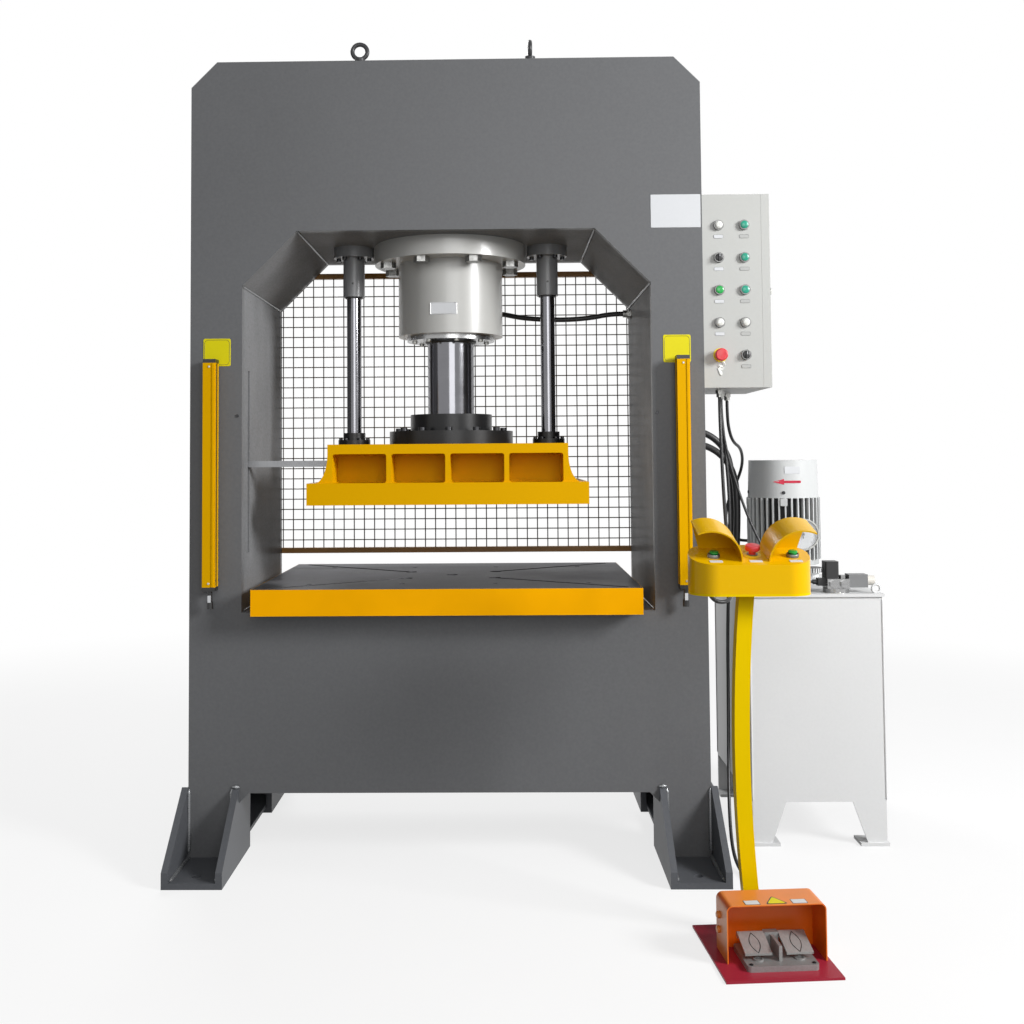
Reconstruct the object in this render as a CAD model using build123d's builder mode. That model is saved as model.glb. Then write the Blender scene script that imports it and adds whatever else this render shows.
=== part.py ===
"""Portal hydraulic press with power unit, control box, two-hand station and foot pedal.

+Z is up and the operator stands at -Y. The origin is on the floor, at the centre
of the four anchor holes in the feet. Lengths are millimetres.
"""

import os
from math import atan2, cos, degrees, hypot, pi, radians, sin, tan

from build123d import *

os.makedirs("parts", exist_ok=True)

# Driving dimensions: welded frame
frame_width = 1630.0
frame_depth = 660.0
frame_height = 2319.0
ground_clearance = 215.0
top_chamfer = 83.0
column_width = 165.0
crown_depth = 550.0
bed_height = 775.0
haunch_gap = 71.0
face_plate = 30.0
band_plate = 20.0
liner_plate = 25.0
leg_width = 140.0
leg_haunch = 50.0

# Driving dimensions: feet
foot_plate = 18.0
gusset_plate = 20.0
foot_reach = 220.0
foot_length = 376.0
gusset_nose = 30.0
gusset_rise = 19.0
sill_plate = 12.0
anchor_hole = 26.0
anchor_inset = 57.0

# Driving dimensions: lifting eyes
eye_pitch = 548.0
eye_ring = 24.0
eye_wire = 7.0
eye_collar = 17.0
eye_collar_height = 9.0

# Driving dimensions: press cylinder
barrel_diameter = 358.0
bore_diameter = 250.0
barrel_drop = 312.0
head_room = 70.0
barrel_cap = 40.0
flange_diameter = 520.0
flange_thickness = 64.0
flange_bolt_circle = 448.0
flange_bolt_count = 8
flange_bolt = 30.0
gland_diameter = 300.0
gland_plate = 16.0
gland_spigot = 90.0
rod_diameter = 160.0
piston_height = 110.0
piston_rest = 40.0
port_diameter = 44.0
port_height = 102.0
port_boss = 12.0
port_angle = 45.0

# Driving dimensions: guides
guide_spacing = 670.0
guide_diameter = 50.0
guide_overrun = 253.0
bush_flange_diameter = 138.0
bush_flange = 35.0
bush_diameter = 74.0
bush_length = 170.0
guide_foot_diameter = 110.0
guide_foot_plate = 18.0
guide_neck_diameter = 76.0
guide_neck = 24.0
small_bolt = 10.0
small_bolt_count = 6
bush_bolt_circle = 106.0
foot_bolt_circle = 93.0

# Driving dimensions: platen and its flange
platen_base_width = 900.0
platen_base_depth = 600.0
platen_base_plate = 70.0
platen_core_width = 772.0
platen_core_depth = 560.0
platen_core_height = 93.0
platen_top_plate = 31.0
platen_flare = 42.0
pocket_count = 4
pocket_rib = 16.0
pocket_corner = 8.0
pocket_web = 300.0
disc_diameter = 424.0
disc_height = 45.0
collar_diameter = 280.0
collar_height = 57.0
disc_screw_circle = 360.0
disc_screw_count = 12
disc_screw = 18.0

# Driving dimensions: limit arm and the slot it travels in
arm_lift = 133.0
arm_offset = 231.0
arm_bar = 20.0
arm_thickness = 10.0
arm_reach = 60.0
slot_rise = 99.0
slot_headroom = 264.0
slot_width = 24.0

# Driving dimensions: table
table_gap = 48.0
table_depth = 840.0
table_thickness = 81.0
table_slot = 20.0
table_slot_depth = 40.0
table_keyhole = 40.0
slot_inner_radius = 180.0
slot_outer_inset = 60.0
table_hole = 17.5
table_hole_depth = 36.0
table_hole_inset = 150.0
table_hole_count = 4
table_hole_pitch = 297.0
table_bore = 40.0

# Driving dimensions: rear guard
guard_lift = 49.0
guard_drop = 32.0
guard_lap = 45.0
guard_tube = 20.0
wire_diameter = 4.0
mesh_pitch = 38.0

# Driving dimensions: light curtains
curtain_inset = 91.0
curtain_lift = 4.0
curtain_length = 700.0
curtain_width = 40.0
curtain_depth = 42.0
curtain_stand = 12.0
curtain_cap = 12.0
curtain_groove = 22.0
curtain_groove_depth = 4.0
bracket_height = 30.0
bracket_width = 26.0
bracket_inset = 45.0
plug_diameter = 15.0
plug_length = 34.0
plug_body_diameter = 20.0
plug_body_length = 22.0

# Driving dimensions: control box
box_drop = 1062.0
box_height = 615.0
box_depth = 400.0
box_width = 186.0
box_sheet = 2.0
box_lip = 14.0
door_depth = 26.0
door_gap = 0.5
hinge_radius = 6.0
hinge_stand = 9.0
hinge_leaf = 14.0
knuckle_length = 34.0
hinge_inset = 70.0
lock_radius = 13.0
lock_head = 7.0
lock_shaft = 7.0
lock_cam = 26.0
lock_inset = 30.0
column_inset = 51.0
column_pitch = 81.0
row_inset = 99.0
row_pitch = 103.3
column_count = 2
row_count = 5

# Driving dimensions: buttons and lamps
bezel_radius = 14.5
bezel_height = 4.0
neck_radius = 11.0
neck_depth = 27.0
neck_floor = 3.0
head_radius = 9.2
head_depth = 20.0
button_rise = 3.5
button_travel = 4.0
lamp_rise = 5.0
lever_width = 6.0
lever_length = 21.0
lever_height = 13.0
lever_turn = 90.0
mushroom_radius = 20.0
mushroom_stem = 17.0
mushroom_height = 15.0
mushroom_dish = 5.0

# Driving dimensions: switchgear
gear_plate = 3.0
gear_stand = 14.0
gear_margin = 28.0
rail_width = 35.0
rail_depth = 8.0
module_depth = 66.0
module_height = 84.0
module_width = 52.0
module_count = 5
rail_rows = 3
switch_width = 44.0
switch_depth = 34.0
switch_height = 72.0
switch_roller = 9.0
switch_margin = 24.0

# Driving dimensions: power unit
tank_gap = 160.0
tank_front = -180.0
tank_width = 430.0
tank_depth = 600.0
tank_bottom = 139.0
tank_top = 796.0
tank_wall = 5.0
leg_top_width = 108.0
leg_foot_width = 62.0
leg_sheet = 6.0
pad_width = 92.0
pad_depth = 80.0
pad_thickness = 10.0
lid_thickness = 10.0
lid_overhang = 7.0
motor_inset_x = 187.0
motor_inset_y = 292.0
bell_diameter = 170.0
bell_height = 74.0
motor_flange_diameter = 236.0
motor_flange = 18.0
fin_diameter = 250.0
core_diameter = 206.0
fin_thickness = 5.0
fin_count = 36
fin_height = 212.0
cowl_diameter = 242.0
cowl_top_diameter = 234.0
cowl_height = 130.0
cowl_wall = 3.0
cowl_slot_count = 12
cowl_slot_width = 12.0
cowl_slot_inner = 34.0
cowl_slot_outer = 96.0
shaft_diameter = 24.0
shaft_bury = 50.0
fan_hub_diameter = 54.0
fan_diameter = 204.0
fan_blade = 3.0
fan_height = 46.0
fan_lift = 24.0
fan_blade_count = 7
terminal_width = 110.0
terminal_depth = 84.0
terminal_height = 104.0
terminal_rise = 20.0
filler_diameter = 70.0
filler_height = 34.0
filler_neck = 46.0
filler_inset = 84.0
lid_eye_ring = 13.0
lid_eye_wire = 4.0
lid_eye_inset = 14.0

# Driving dimensions: valves and gauge
valve_inset_x = 296.0
valve_inset_y = 48.0
valve_base_diameter = 84.0
valve_base = 14.0
valve_block_width = 72.0
valve_block_depth = 62.0
valve_block_height = 32.0
valve_plug_diameter = 24.0
valve_plug_length = 10.0
coil_length = 62.0
coil_height = 42.0
coil_depth = 46.0
coil_cap_diameter = 32.0
coil_cap_length = 26.0
top_coil_width = 44.0
top_coil_depth = 50.0
top_coil_height = 56.0
top_coil_round = 6.0
connector_width = 26.0
connector_depth = 28.0
connector_height = 24.0
connector_gland_diameter = 16.0
connector_gland_length = 14.0
gauge_inset_x = 212.0
gauge_inset_y = 140.0
gauge_rise = 184.0
gauge_diameter = 107.0
gauge_depth = 40.0
gauge_rim = 5.0
gauge_recess = 9.0
gauge_stem = 14.0
gauge_nut = 26.0
gauge_nut_height = 22.0
needle_length = 40.0
needle_tail = 14.0
needle_width = 3.0
needle_thickness = 1.5
needle_hub = 5.0
needle_lift = 3.0

# Driving dimensions: two-hand station
station_offset = 12.0
case_front = -950.0
case_width = 318.0
case_depth = 150.0
case_bottom = 899.0
case_front_height = 76.0
case_corner = 68.0
case_wall = 3.0
panel_slope = 15.0
button_spread = 104.0
control_shift = 9.0
button_up_slope = 62.0
stop_up_slope = 74.0
shroud_radius = 85.0
shroud_sweep = 115.0
shroud_sheet = 4.0
shroud_foot = 34.0
shroud_web = 14.0
shroud_inset = 22.0
shroud_depth = 112.0
pole_size = 40.0
pole_bow = 27.0
pole_lean = 9.0
pole_wall = 4.0
pole_inset = 80.0
pole_cap = 6.0
base_reach = 155.0
base_front = -1135.0
base_width = 290.0
base_depth = 332.0
base_plate = 6.0

# Driving dimensions: foot pedal
pedal_shift = 19.0
pedal_turn = 4.5
hood_front = -1042.0
hood_width = 252.0
hood_depth = 100.0
hood_height = 140.0
hood_corner = 16.0
hood_wall = 3.0
shoe_width = 178.0
shoe_front = -1093.0
shoe_depth = 136.0
shoe_thickness = 14.0
shoe_corner = 10.0
shoe_rib = 8.0
shoe_rib_height = 36.0
boss_radius = 13.0
boss_wall = 4.0
boss_height = 3.0
boss_inset = 26.0
pivot_inset = 27.0
pivot_height = 46.0
pivot_pin = 8.0
pivot_post = 10.0
pedal_width = 68.0
pedal_gap = 14.0
pedal_length = 76.0
pedal_plate = 6.0
pedal_slope = 18.0
pedal_knuckle = 8.0

# Driving dimensions: cords and their glands
hose_diameter = 24.0
feed_diameter = 18.0
cable_diameter = 11.0
thin_cable_diameter = 9.0
hose_gland_diameter = 40.0
hose_gland_length = 25.0
hose_lead = 45.0
feed_gland_diameter = 30.0
feed_gland_length = 28.0
feed_lead = 45.0
cable_gland_diameter = 22.0
cable_gland_length = 24.0
cable_lead = 45.0
short_lead = 34.0
loop_lead = 22.0

# Driving dimensions: places of the glands
pressure_wall_inset = 125.0
pressure_wall_z = 1300.0
return_wall_inset = 65.0
return_wall_z = 1350.0
lid_port_inset = 25.0
pressure_lid_inset = 330.0
return_lid_inset = 442.0
feed_wall_inset = 50.0
feed_wall_drop = 204.0
motor_box_inset_x = 140.0
motor_box_inset_y = 360.0
valve_box_inset_x = 90.0
valve_box_inset_y = 210.0
station_box_inset_x = 70.0
station_box_inset_y = 125.0
pedal_box_inset_x = 105.0
pedal_box_inset_y = 285.0
terminal_port_inset = 21.0
terminal_port_rise = 26.0
case_port_inset = 87.0
case_port_rise = 16.0
hood_port_inset = 69.0
hood_port_rise = 30.0

# Clearances and shares
cut_overrun = 20.0
running_clearance = 0.5
seat_clearance = 0.3
wire_clearance = 0.2
arc_share = 0.45
head_share = 0.65
cap_share = 0.8
hex_share = 0.9
hex_sides = 6
relief_share = 0.28
daylight_share = 0.5
pole_bow_share = 0.62
straight_angle = 180.0

# Planes and levels that the pieces share
half_width = frame_width / 2
half_depth = frame_depth / 2
half_opening = half_width - column_width
inner_depth = frame_depth - 2 * face_plate
frame_top = ground_clearance + frame_height
crown_height = frame_top - crown_depth
column_inside = half_opening + liner_plate
leg_inner = half_width - leg_width
foot_front = half_depth + foot_reach
foot_back = foot_front - foot_length
foot_outer = half_width + gusset_plate
foot_inner = leg_inner - gusset_plate
table_top = bed_height + table_thickness
barrel_bottom = crown_height - barrel_drop
barrel_top = frame_top - band_plate - head_room
flange_bottom = crown_height - flange_thickness
flange_bolt_turn = straight_angle / flange_bolt_count
guide_x = guide_spacing / 2
haunch = half_opening - guide_x - bush_flange_diameter / 2 - haunch_gap
platen_stack = platen_base_plate + platen_core_height + platen_top_plate + disc_height + collar_height
free_height = barrel_bottom - gland_plate - table_top - platen_stack
platen_height = table_top + daylight_share * free_height
platen_base_top = platen_height + platen_base_plate
platen_core_top = platen_base_top + platen_core_height
platen_top = platen_core_top + platen_top_plate
disc_top = platen_top + disc_height
collar_top = disc_top + collar_height
guide_length = crown_height + guide_overrun - platen_top
arm_height = platen_height + arm_lift
slot_bottom = table_top + slot_rise
slot_top = crown_height - haunch - slot_headroom
table_width = 2 * (half_opening - table_gap)
guard_bottom = table_top + guard_lift
guard_height = crown_height - guard_drop - guard_bottom
guard_width = 2 * (half_opening + guard_lap)
curtain_offset = half_opening + curtain_inset
curtain_bottom = table_top + curtain_lift
box_left = half_width
box_right = box_left + box_width
box_front = -half_depth
box_rear = box_front + box_depth
box_bottom = frame_top - box_drop
box_top = box_bottom + box_height
tank_left = half_width + tank_gap
lid_top = tank_top + lid_thickness
motor_x = tank_left + motor_inset_x
motor_y = tank_front + motor_inset_y
fin_bottom = lid_top + bell_height + motor_flange
fin_top = fin_bottom + fin_height
base_top = base_plate
station_x = half_width + station_offset
pedal_x = station_x + pedal_shift
pedal_axis = Axis((pedal_x, hood_front, 0), (0, 0, 1))


def keep(piece: BuildPart, name: str) -> None:
    """Label a finished piece and write it as the node of that name."""
    piece.part.label = name
    export_step(piece.part, f"parts/{name}.step")


def keep_turned(piece: BuildPart, name: str) -> None:
    """Turn a piece of the foot pedal with its plate, which stands askew on the floor, and keep it."""
    with BuildPart() as turned:
        add(piece.part.rotate(pedal_axis, pedal_turn))
    keep(turned, name)


def slab(x_span, y_span, z_span, mode=Mode.ADD):
    """Rectangular plate or block between two limits on each axis."""
    middle = [(low + high) / 2 for low, high in (x_span, y_span, z_span)]
    size = [high - low for low, high in (x_span, y_span, z_span)]
    with Locations(tuple(middle)):
        Box(*size, mode=mode)


def drum(plane, radius, low, high, mode=Mode.ADD):
    """Cylinder about the normal of a plane, between two heights along it."""
    with Locations(plane.offset(low).location):
        Cylinder(radius, high - low, align=(Align.CENTER, Align.CENTER, Align.MIN), mode=mode)


def hex_prism(plane, across_flats, low, high):
    """Hexagonal head or nut about the normal of a plane."""
    with BuildSketch(plane.offset(low)) as outline:
        RegularPolygon(across_flats / 2, hex_sides, major_radius=False)
    extrude(outline.sketch, amount=high - low)


# Welded frame: face plates, outer band and opening liner
opening_outline = [
    (-half_opening, bed_height),
    (half_opening, bed_height),
    (half_opening, crown_height - haunch),
    (half_opening - haunch, crown_height),
    (haunch - half_opening, crown_height),
    (-half_opening, crown_height - haunch),
]
hull_outline = [
    (-half_width, ground_clearance),
    (half_width, ground_clearance),
    (half_width, frame_top - top_chamfer),
    (half_width - top_chamfer, frame_top),
    (top_chamfer - half_width, frame_top),
    (-half_width, frame_top - top_chamfer),
]
leg_outline = [
    (half_width, foot_plate),
    (half_width, ground_clearance),
    (leg_inner - leg_haunch, ground_clearance),
    (leg_inner, ground_clearance - leg_haunch),
    (leg_inner, foot_plate),
]


def portal_plate(back: float) -> BuildPart:
    """Face plate with its two legs and the work opening; back is the Y of its rear face."""
    with BuildPart() as plate:
        with BuildSketch(Plane.XZ.offset(-back)):
            Polygon(*hull_outline, align=None)
            Polygon(*leg_outline, align=None)
            Polygon(*[(-x, z) for x, z in leg_outline], align=None)
            Polygon(*opening_outline, align=None, mode=Mode.SUBTRACT)
        extrude(amount=face_plate)
    return plate


front_plate = portal_plate(face_plate - half_depth)
keep(front_plate, "front_plate")
rear_plate = portal_plate(half_depth)
keep(rear_plate, "rear_plate")

with BuildPart() as outer_band:
    with BuildSketch(Plane.XZ.offset(-inner_depth / 2)):
        Polygon(*hull_outline, align=None)
        offset(amount=-band_plate, kind=Kind.INTERSECTION, mode=Mode.SUBTRACT)
    extrude(amount=inner_depth)
keep(outer_band, "outer_band")

with BuildPart() as opening_liner:
    with BuildSketch(Plane.XZ.offset(-inner_depth / 2)):
        Polygon(*opening_outline, align=None)
        offset(amount=liner_plate, kind=Kind.INTERSECTION)
        Polygon(*opening_outline, align=None, mode=Mode.SUBTRACT)
    extrude(amount=inner_depth)
    with BuildSketch(Plane.XY.offset(crown_height)):
        Circle(barrel_diameter / 2 + seat_clearance)
        with Locations((guide_x, 0), (-guide_x, 0)):
            Circle(bush_diameter / 2)
    extrude(amount=liner_plate, mode=Mode.SUBTRACT)
    slab(
        (-column_inside - cut_overrun, cut_overrun - half_opening),
        (-arm_offset - slot_width / 2, slot_width / 2 - arm_offset),
        (slot_bottom, slot_top),
        mode=Mode.SUBTRACT,
    )
keep(opening_liner, "opening_liner")

# Feet: per side a front and a rear U-shaped foot, joined by a sill plate
gusset_outline = [
    (-foot_front, foot_plate),
    (-foot_front, foot_plate + gusset_nose),
    (-half_depth, ground_clearance + gusset_rise),
    (-half_depth, ground_clearance),
    (-foot_back, ground_clearance),
    (-foot_back, foot_plate),
]
with BuildPart() as feet:
    with BuildSketch():
        with Locations(((foot_inner + foot_outer) / 2, -(foot_front + foot_back) / 2)):
            Rectangle(foot_outer - foot_inner, foot_length)
        with Locations(((foot_inner + foot_outer) / 2, anchor_inset - foot_front)):
            Circle(anchor_hole / 2, mode=Mode.SUBTRACT)
    extrude(amount=foot_plate)
    for inner_face in (foot_inner, half_width):
        with BuildSketch(Plane.YZ.offset(inner_face)):
            Polygon(*gusset_outline, align=None)
        extrude(amount=gusset_plate)
    mirror(about=Plane.XZ)
    slab((leg_inner, half_width), (-inner_depth / 2, inner_depth / 2), (foot_plate, foot_plate + sill_plate))
    mirror(about=Plane.YZ)
    add(front_plate.part, mode=Mode.SUBTRACT)
    add(rear_plate.part, mode=Mode.SUBTRACT)
keep(feet, "feet")

# Lifting eyes in the top edges of the face plates, flange bolts and bush bolts under the crown
eye_row = half_depth - face_plate / 2
eye_lift = eye_collar_height + eye_ring
with BuildPart() as frame_bolts:
    for end in (-1, 1):
        for side in (-1, 1):
            foot = Plane((side * eye_pitch / 2, end * eye_row, frame_top))
            drum(foot, eye_collar, 0, eye_collar_height)
            ring_normal = (0, 1, 0) if side == end else (1, 0, 0)
            with Locations(Plane(foot.offset(eye_lift).origin, z_dir=ring_normal).location):
                Torus(eye_ring, eye_wire)
    with PolarLocations(flange_bolt_circle / 2, flange_bolt_count, flange_bolt_turn) as flange_places:
        pass
    for place in flange_places.locations:
        bolt = Plane((place.position.X, place.position.Y, flange_bottom))
        hex_prism(bolt, flange_bolt / head_share, -flange_bolt * head_share, 0)
        drum(bolt, flange_bolt / 2, 0, flange_thickness)
    with PolarLocations(bush_bolt_circle / 2, small_bolt_count) as bush_places:
        pass
    for side in (-1, 1):
        for place in bush_places.locations:
            bolt = Plane((side * guide_x + place.position.X, place.position.Y, crown_height - bush_flange))
            drum(bolt, small_bolt * cap_share, -small_bolt, 0)
            drum(bolt, small_bolt / 2, 0, bush_flange)
keep(frame_bolts, "frame_bolts")

# Press cylinder: flanged barrel closed at the top, with the hose port at the right rear
port_normal = (cos(radians(port_angle)), sin(radians(port_angle)), 0)
port_axis = Plane((0, 0, barrel_bottom + port_height), z_dir=port_normal)
port_face = barrel_diameter / 2 + port_boss
with BuildPart() as cylinder_barrel:
    with BuildSketch(Plane.XZ):
        Polygon(
            (bore_diameter / 2, barrel_bottom),
            (barrel_diameter / 2, barrel_bottom),
            (barrel_diameter / 2, flange_bottom),
            (flange_diameter / 2, flange_bottom),
            (flange_diameter / 2, crown_height),
            (barrel_diameter / 2, crown_height),
            (barrel_diameter / 2, barrel_top),
            (0, barrel_top),
            (0, barrel_top - barrel_cap),
            (bore_diameter / 2, barrel_top - barrel_cap),
            align=None,
        )
    revolve(axis=Axis.Z)
    drum(port_axis, port_diameter / 2, (barrel_diameter + bore_diameter) / 4, port_face)
    with BuildSketch(Plane.XY.offset(flange_bottom)):
        with PolarLocations(flange_bolt_circle / 2, flange_bolt_count, flange_bolt_turn):
            Circle(flange_bolt / 2)
    extrude(amount=flange_thickness, mode=Mode.SUBTRACT)
keep(cylinder_barrel, "cylinder_barrel")

with BuildPart() as gland_ring:
    with BuildSketch(Plane.XZ):
        Polygon(
            (rod_diameter / 2 + running_clearance, barrel_bottom - gland_plate),
            (gland_diameter / 2, barrel_bottom - gland_plate),
            (gland_diameter / 2, barrel_bottom),
            (bore_diameter / 2, barrel_bottom),
            (bore_diameter / 2, barrel_bottom + gland_spigot),
            (rod_diameter / 2 + running_clearance, barrel_bottom + gland_spigot),
            align=None,
        )
    revolve(axis=Axis.Z)
keep(gland_ring, "gland_ring")

piston_bottom = crown_height + piston_rest
with BuildPart() as piston_rod:
    drum(Plane.XY, rod_diameter / 2, platen_top, piston_bottom)
    drum(Plane.XY, bore_diameter / 2 - running_clearance, piston_bottom, piston_bottom + piston_height)
keep(piston_rod, "piston_rod")

# Guides: flanged bushes under the crown, rods that ride with the platen
with BuildPart() as guide_bushes:
    for side in (-1, 1):
        axis = Plane((side * guide_x, 0, 0))
        drum(axis, bush_diameter / 2, crown_height - bush_length, crown_height + liner_plate)
        drum(axis, bush_flange_diameter / 2, crown_height - bush_flange, crown_height)
        guide_bore = guide_diameter / 2 + running_clearance
        drum(axis, guide_bore, crown_height - bush_length, crown_height + liner_plate, mode=Mode.SUBTRACT)
        with BuildSketch(axis.offset(crown_height - bush_flange)):
            with PolarLocations(bush_bolt_circle / 2, small_bolt_count):
                Circle(small_bolt / 2)
        extrude(amount=bush_flange, mode=Mode.SUBTRACT)
keep(guide_bushes, "guide_bushes")

with BuildPart() as guide_rods:
    for side in (-1, 1):
        drum(Plane((side * guide_x, 0, platen_top)), guide_diameter / 2, 0, guide_length)
keep(guide_rods, "guide_rods")

# Platen: thick base plate, pocketed core with flared ends, top plate
pocket_width = (platen_core_width - (pocket_count + 1) * pocket_rib) / pocket_count
pocket_pitch = pocket_width + pocket_rib
pocket_depth = (platen_core_depth - pocket_web) / 2
with BuildPart() as platen:
    with BuildSketch(Plane.XZ.offset(-platen_core_depth / 2)):
        with Locations((0, platen_base_top)):
            Rectangle(platen_core_width, platen_top - platen_base_top, align=(Align.CENTER, Align.MIN))
            flare_span = platen_core_width + 2 * platen_flare
            Rectangle(flare_span, platen_core_height, align=(Align.CENTER, Align.MIN))
        for side in (-1, 1):
            with Locations((side * flare_span / 2, platen_base_top + platen_core_height)):
                Ellipse(platen_flare, platen_core_height, mode=Mode.SUBTRACT)
    extrude(amount=platen_core_depth)
    slab(
        (-platen_base_width / 2, platen_base_width / 2),
        (-platen_base_depth / 2, platen_base_depth / 2),
        (platen_height, platen_base_top),
    )
    for end in (1, -1):
        with BuildSketch(Plane.XZ.offset(end * platen_core_depth / 2)):
            with Locations((0, platen_base_top + platen_core_height / 2)):
                with GridLocations(pocket_pitch, platen_core_height, pocket_count, 1):
                    RectangleRounded(pocket_width, platen_core_height, pocket_corner)
        extrude(amount=-end * pocket_depth, mode=Mode.SUBTRACT)
keep(platen, "platen")

with BuildPart() as platen_flanges:
    drum(Plane.XY, disc_diameter / 2, platen_top, disc_top)
    drum(Plane.XY, collar_diameter / 2, disc_top, collar_top)
    drum(Plane.XY, rod_diameter / 2, platen_top, collar_top, mode=Mode.SUBTRACT)
    for side in (-1, 1):
        axis = Plane((side * guide_x, 0, platen_top))
        drum(axis, guide_foot_diameter / 2, 0, guide_foot_plate)
        drum(axis, guide_neck_diameter / 2, guide_foot_plate, guide_foot_plate + guide_neck)
        drum(axis, guide_diameter / 2, 0, guide_foot_plate + guide_neck, mode=Mode.SUBTRACT)
keep(platen_flanges, "platen_flanges")

with BuildPart() as platen_bolts:
    with PolarLocations(disc_screw_circle / 2, disc_screw_count) as disc_places:
        pass
    for place in disc_places.locations:
        head = Plane((place.position.X, place.position.Y, disc_top))
        drum(head, disc_screw * head_share, 0, disc_screw * head_share)
    with PolarLocations(foot_bolt_circle / 2, small_bolt_count) as foot_places:
        pass
    for side in (-1, 1):
        for place in foot_places.locations:
            head = Plane((side * guide_x + place.position.X, place.position.Y, platen_top + guide_foot_plate))
            drum(head, small_bolt * head_share, 0, small_bolt * head_share)
keep(platen_bolts, "platen_bolts")

arm_start = -platen_core_width / 2
arm_end = -half_opening - arm_reach
with BuildPart() as limit_arm:
    slab(
        (arm_end, arm_start),
        (-arm_offset - arm_thickness / 2, arm_thickness / 2 - arm_offset),
        (arm_height - arm_bar / 2, arm_height + arm_bar / 2),
    )
    add(platen.part, mode=Mode.SUBTRACT)
keep(limit_arm, "limit_arm")

# Table: slots along the diagonals with keyholes at their inner ends, tapped holes near the edges
corner_reach = hypot(table_width, table_depth) / 2
corner_angle = degrees(atan2(table_depth, table_width))
slot_outer_radius = corner_reach - slot_outer_inset
with BuildPart() as table:
    slab(
        (-table_width / 2, table_width / 2),
        (-table_depth / 2, table_depth / 2),
        (bed_height, table_top),
    )
    with BuildSketch(Plane.XY.offset(table_top)):
        for side, end in ((1, 1), (1, -1), (-1, 1), (-1, -1)):
            toward = Vector(side * table_width, end * table_depth).normalized()
            with Locations(toward * (slot_inner_radius + slot_outer_radius) / 2):
                SlotCenterToCenter(
                    slot_outer_radius - slot_inner_radius, table_slot, rotation=side * end * corner_angle
                )
            with Locations(toward * slot_inner_radius):
                Circle(table_keyhole / 2)
        Circle(table_bore / 2)
    extrude(amount=-table_slot_depth, mode=Mode.SUBTRACT)
    with BuildSketch(Plane.XY.offset(table_top)):
        with GridLocations(table_hole_pitch, table_depth - 2 * table_hole_inset, table_hole_count, 2):
            Circle(table_hole / 2)
    extrude(amount=-table_hole_depth, mode=Mode.SUBTRACT)
keep(table, "table")

# Rear guard: tube frame on the rear plate, welded wire mesh inside it
guard_inside = guard_width - 2 * guard_tube
guard_clear = guard_height - 2 * guard_tube
guard_middle = guard_bottom + guard_height / 2
with BuildPart() as guard_frame:
    with BuildSketch(Plane.XZ.offset(-half_depth - guard_tube)):
        with Locations((0, guard_middle)):
            Rectangle(guard_width, guard_height)
            Rectangle(guard_inside, guard_clear, mode=Mode.SUBTRACT)
    extrude(amount=guard_tube)
keep(guard_frame, "guard_frame")

upright_count = int(guard_inside // mesh_pitch)
cross_count = int(guard_clear // mesh_pitch)
wire_layer = (wire_diameter + wire_clearance) / 2
mesh_plane = half_depth + guard_tube / 2
with BuildPart() as guard_mesh:
    with BuildSketch(Plane.XY.offset(guard_bottom + guard_tube)):
        with Locations((0, mesh_plane - wire_layer)):
            with GridLocations(mesh_pitch, mesh_pitch, upright_count, 1):
                Circle(wire_diameter / 2)
    extrude(amount=guard_clear)
    with BuildSketch(Plane.YZ.offset(-guard_inside / 2)):
        with Locations((mesh_plane + wire_layer, guard_middle)):
            with GridLocations(mesh_pitch, mesh_pitch, 1, cross_count):
                Circle(wire_diameter / 2)
    extrude(amount=guard_inside)
keep(guard_mesh, "guard_mesh")

# Light curtains: grooved bars on stand-off brackets, with end caps and hanging plugs
curtain_back = -half_depth - curtain_stand
curtain_middle = curtain_back - curtain_depth / 2
curtain_top = curtain_bottom + curtain_length
with BuildPart() as light_curtains:
    for side in (-1, 1):
        with BuildSketch(Plane.XY.offset(curtain_bottom)):
            with Locations((side * curtain_offset, curtain_middle)):
                Rectangle(curtain_width, curtain_depth)
            with Locations((side * (curtain_offset - curtain_width / 2), curtain_middle)):
                Rectangle(2 * curtain_groove_depth, curtain_groove, mode=Mode.SUBTRACT)
        extrude(amount=curtain_length)
keep(light_curtains, "light_curtains")

with BuildPart() as curtain_fittings:
    for side in (-1, 1):
        place = (side * curtain_offset, curtain_middle)
        for level in (curtain_bottom - curtain_cap, curtain_top):
            with BuildSketch(Plane.XY.offset(level)):
                with Locations(place):
                    Rectangle(curtain_width, curtain_depth)
            extrude(amount=curtain_cap)
        for level in (curtain_bottom + bracket_inset, curtain_top - bracket_inset):
            with BuildSketch(Plane.XZ.offset(half_depth)):
                with Locations((side * curtain_offset, level)):
                    Rectangle(bracket_width, bracket_height)
            extrude(amount=curtain_stand)
        cap_bottom = Plane((*place, curtain_bottom - curtain_cap))
        drum(cap_bottom, plug_diameter / 2, -plug_length, 0)
        drum(cap_bottom, plug_body_diameter / 2, -plug_length - plug_body_length, -plug_length)
keep(curtain_fittings, "curtain_fittings")

# Control box: sheet shell open to the right, lipped round the door, controls on its front
columns = [box_left + column_inset, box_left + column_inset + column_pitch]
rows = [box_top - row_inset - step * row_pitch for step in range(row_count)]


def panel_place(column: int, row: int) -> Plane:
    """Plane of one control on the front of the box, its normal towards the operator."""
    return Plane((columns[column], box_front, rows[row]), x_dir=(1, 0, 0), z_dir=(0, -1, 0))


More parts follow.
